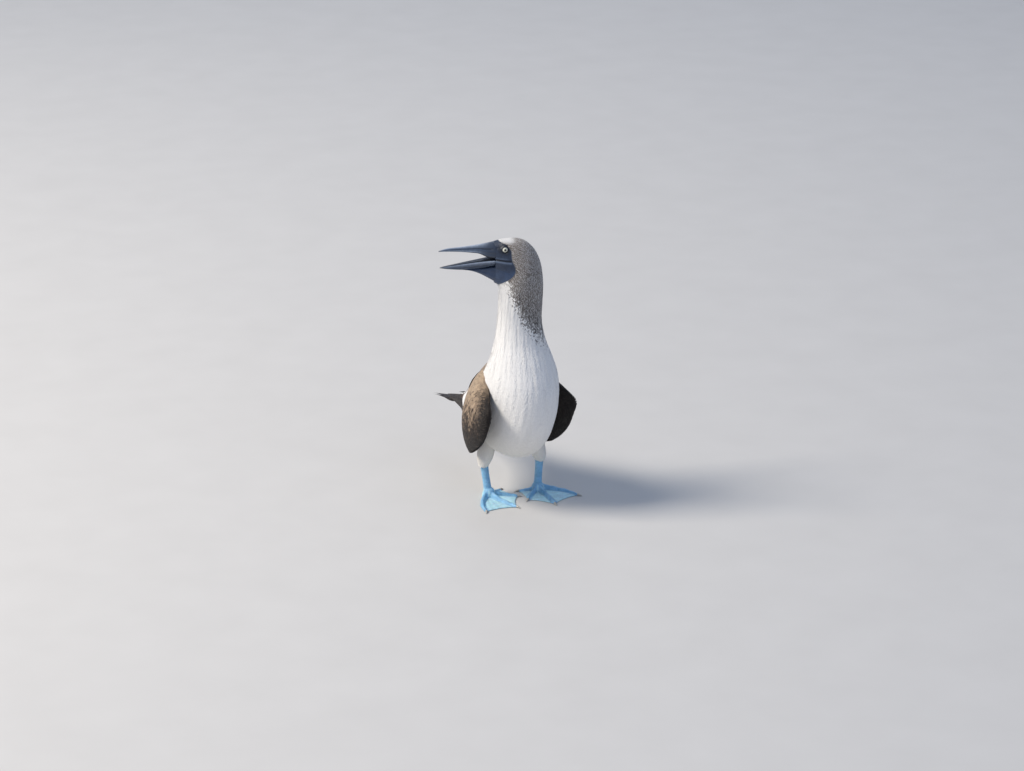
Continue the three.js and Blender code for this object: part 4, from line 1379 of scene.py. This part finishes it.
def shank_surface(leg, s, turn):
    """A straight tube from the ankle to the feathers' hem, waisted, with a swelling over the toes."""
    radius = along(SHANK_RADIUS, s) + 1.2 * bell(s - 0.03, 0.06) + 0.9 * bell(s - 0.97, 0.04)
    low = np.array([*leg["hub"], ANKLE - 4.0])
    high = np.array([*leg["shank"], HEM + 3.0])
    s = np.asarray(s, float)[..., None]
    return low + (high - low) * s + points(radius * np.cos(turn), radius * 1.12 * np.sin(turn), 0)


def ankle_surface(leg, s, turn):
    """A low dome over the hub that eases the shank into the toes."""
    radius = 12.5 * np.sin(s * np.pi / 2) ** 0.6
    return points(leg["hub"][0] + radius * np.cos(turn), leg["hub"][1] - 2 + radius * np.sin(turn),
                  0.3 + 17 * np.cos(s * np.pi / 2))


def melt(name, parts, voxel):
    """Joins closed parts into one surface with a voxel remesh and a few rounds of smoothing."""
    made = mesh_object(name, *joined(parts))
    remesh = made.modifiers.new("remesh", "REMESH")
    remesh.mode = "VOXEL"
    remesh.voxel_size = voxel * MM
    made.modifiers.new("smooth", "SMOOTH").iterations = 4
    apply_modifiers(made)
    return made


def foot_relief(leg, place, normal):
    """Scutes: how near each point is to a toe's line or to the shank, and grooves every two and a half mm
    or so. Gives the move along the normal, the share of horny skin, the grooves, and the distance to a
    toe's line."""
    best = np.full(len(place), 99.0)
    run = np.zeros(len(place))
    samples = np.linspace(0, 1, LINE_SAMPLES)
    for toe, (length, _, _) in TOES.items():
        line = toe_line(leg, toe, samples)[:, :2]
        gap = np.linalg.norm(place[:, None, :2] - line[None], axis=-1)
        nearest = gap.argmin(axis=1)
        closer = gap.min(axis=1) < best
        run = np.where(closer, nearest / (LINE_SAMPLES - 1) * length, run)
        best = np.minimum(best, gap.min(axis=1))
    on_toe = 1 - ramp(best, 3.4, 6.0)
    on_shank = ramp(place[:, 2], 11, 20)
    step = np.where(on_shank > 0.5, place[:, 2] / SCUTE["shank"], run / SCUTE["toe"])
    groove = bell((step % 1) - 0.5, 0.11)
    move = -0.3 * groove * np.maximum(on_toe * (normal[:, 2] > 0.2), on_shank * (normal[:, 1] < 0.35))
    horny = np.maximum(on_toe, on_shank)
    return move, horny, groove * horny, best


SKY, CYAN, DEEP = (tint(code) for code in ("8fc5e8", "bce7f4", "4e8dbd"))
foot_skin, tree, surface = new_material("blue_foot_skin_small_scales", IOR=1.45, Coat_Weight=0.1,
                                        Coat_Roughness=0.3, Subsurface_Weight=0.08, Subsurface_Scale=0.003)
place = add(tree, "TexCoord", out=3)
tone = add(tree, "Attribute", attribute_name="tone")
scales = add(tree, "TexVoronoi", {"Vector": place, "Scale": SCALES_PER_METRE}, feature="DISTANCE_TO_EDGE")
cloud = add(tree, "TexNoise", {"Vector": place, "Scale": 90.0, "Detail": 6.0})
seams = add(tree, "MapRange", {0: scales, 1: 0.0, 2: 0.14, 3: 0.78, 4: 1.0})
mottle = add(tree, "MapRange", {0: cloud, 1: 0.3, 2: 0.7, 3: 0.86, 4: 1.1})
both = add(tree, "Math", {0: seams, 1: mottle}, operation="MULTIPLY")
rough = add(tree, "MapRange", {0: cloud, 3: 0.42, 4: 0.62})
rise = add(tree, "MapRange", {0: scales, 1: 0.0, 2: 0.2})
dress(tree, surface, tone, both, rough, rise, 0.55, 0.0003)

for side, leg in LEGS.items():
    parts = [loft(lambda s, turn: toe_surface(leg, toe, s, turn), np.linspace(0, 1, 70), 32) for toe in TOES]
    parts += [web_sheet(leg, *pair) for pair in (("outer", "middle"), ("middle", "inner"), ("inner", "hind"))]
    parts.append(loft(lambda s, turn: shank_surface(leg, s, turn), np.linspace(0, 1, 60), 40))
    parts.append(loft(lambda s, turn: ankle_surface(leg, s, turn), np.linspace(0.02, 1, 20), 40))
    foot = melt(f"webbed_foot_{side}", parts, VOXEL)
    place = read_points(foot.data)
    normals = np.zeros(len(place) * 3, np.float32)
    foot.data.vertex_normals.foreach_get("vector", normals)
    normals = normals.reshape(-1, 3)
    move, horny, groove, best = foot_relief(leg, place, normals)
    place = place + normals * move[:, None]
    place[:, 2] = np.maximum(place[:, 2], 0)
    write_points(foot.data, place)
    tone = blend(CYAN, SKY, horny)
    # Dark scute grooves, and painted shade in the crease where each toe meets its web.
    tone = blend(tone, DEEP, 0.45 * groove + 0.5 * bell(best - 5.6, 1.1) * (place[:, 2] < 5))
    # Painted shade on the top of the shank, under the feathers' hem.
    tone = blend(tone, DEEP, 0.7 * ramp(place[:, 2], HEM - 2.5, HEM))
    set_attributes(foot.data, {"tone": tone})
    foot.data.update()
    finish_piece(foot, foot_skin, "foot_skin", f"shank_{side}", f"foot_{side}")

# %% [markdown]
# ## Claws
# Short blunt claws cap the toes. Each is a tapering tube whose middle line bends down to the floor.

# %% Claws
CLAW_WIDE = [2.3, 2.0, 1.3, 0.35]
CLAW_TALL = [2.1, 1.7, 1.1, 0.3]
CLAW_MIDDLE = [2.3, 2.35, 1.7, 0.35]
CLAW_LENGTH = 9.5
CLAW_OVERLAP = 1.6


def claw_surface(leg, toe, s, turn):
    """A tapering tube on from the toe's tip, whose middle line sinks by a smooth curve to the floor."""
    way = toe_way(leg, toe)
    side = across_way(way)
    wide, tall, middle = (along(values, s) for values in (CLAW_WIDE, CLAW_TALL, CLAW_MIDDLE))
    place = toe_line(leg, toe, np.ones_like(s)) + way * (s * CLAW_LENGTH - CLAW_OVERLAP)[..., None]
    place = place + side * (wide * np.cos(turn))[..., None]
    place[..., 2] = np.maximum(0.02, middle + tall * np.sin(turn))
    return place


claw_horn, tree, surface = new_material("claw_horn_grey_layered", IOR=1.54, Coat_Weight=0.2,
                                        Coat_Roughness=0.2)
place = add(tree, "TexCoord", out=3)
layers = add(tree, "TexNoise", {"Vector": place, "Scale": 900.0, "Detail": 5.0})
tones = {0: layers, 6: linear("8f8b82"), 7: linear("d2cdc0")}
rough = add(tree, "MapRange", {0: layers, 3: 0.25, 4: 0.5})
dress(tree, surface, add(tree, "Mix", tones, 2, data_type="RGBA"), None, rough, layers, 0.3, 0.0002)

for side, leg in LEGS.items():
    for toe in TOES:
        vertices, faces = loft(lambda s, turn: claw_surface(leg, toe, s, turn), np.linspace(0, 1, 24), 20)
        made = mesh_object(f"claw_horn_{side}_{toe}", vertices, faces)
        finish_piece(made, claw_horn, "claw_horn", f"claw_{side}_{toe}")

# %% [markdown]
# ## Last look
# The number of triangles in all pieces is printed.

# %% Sizes and finish
print("triangles in all:", sum(triangles_by_piece.values()))
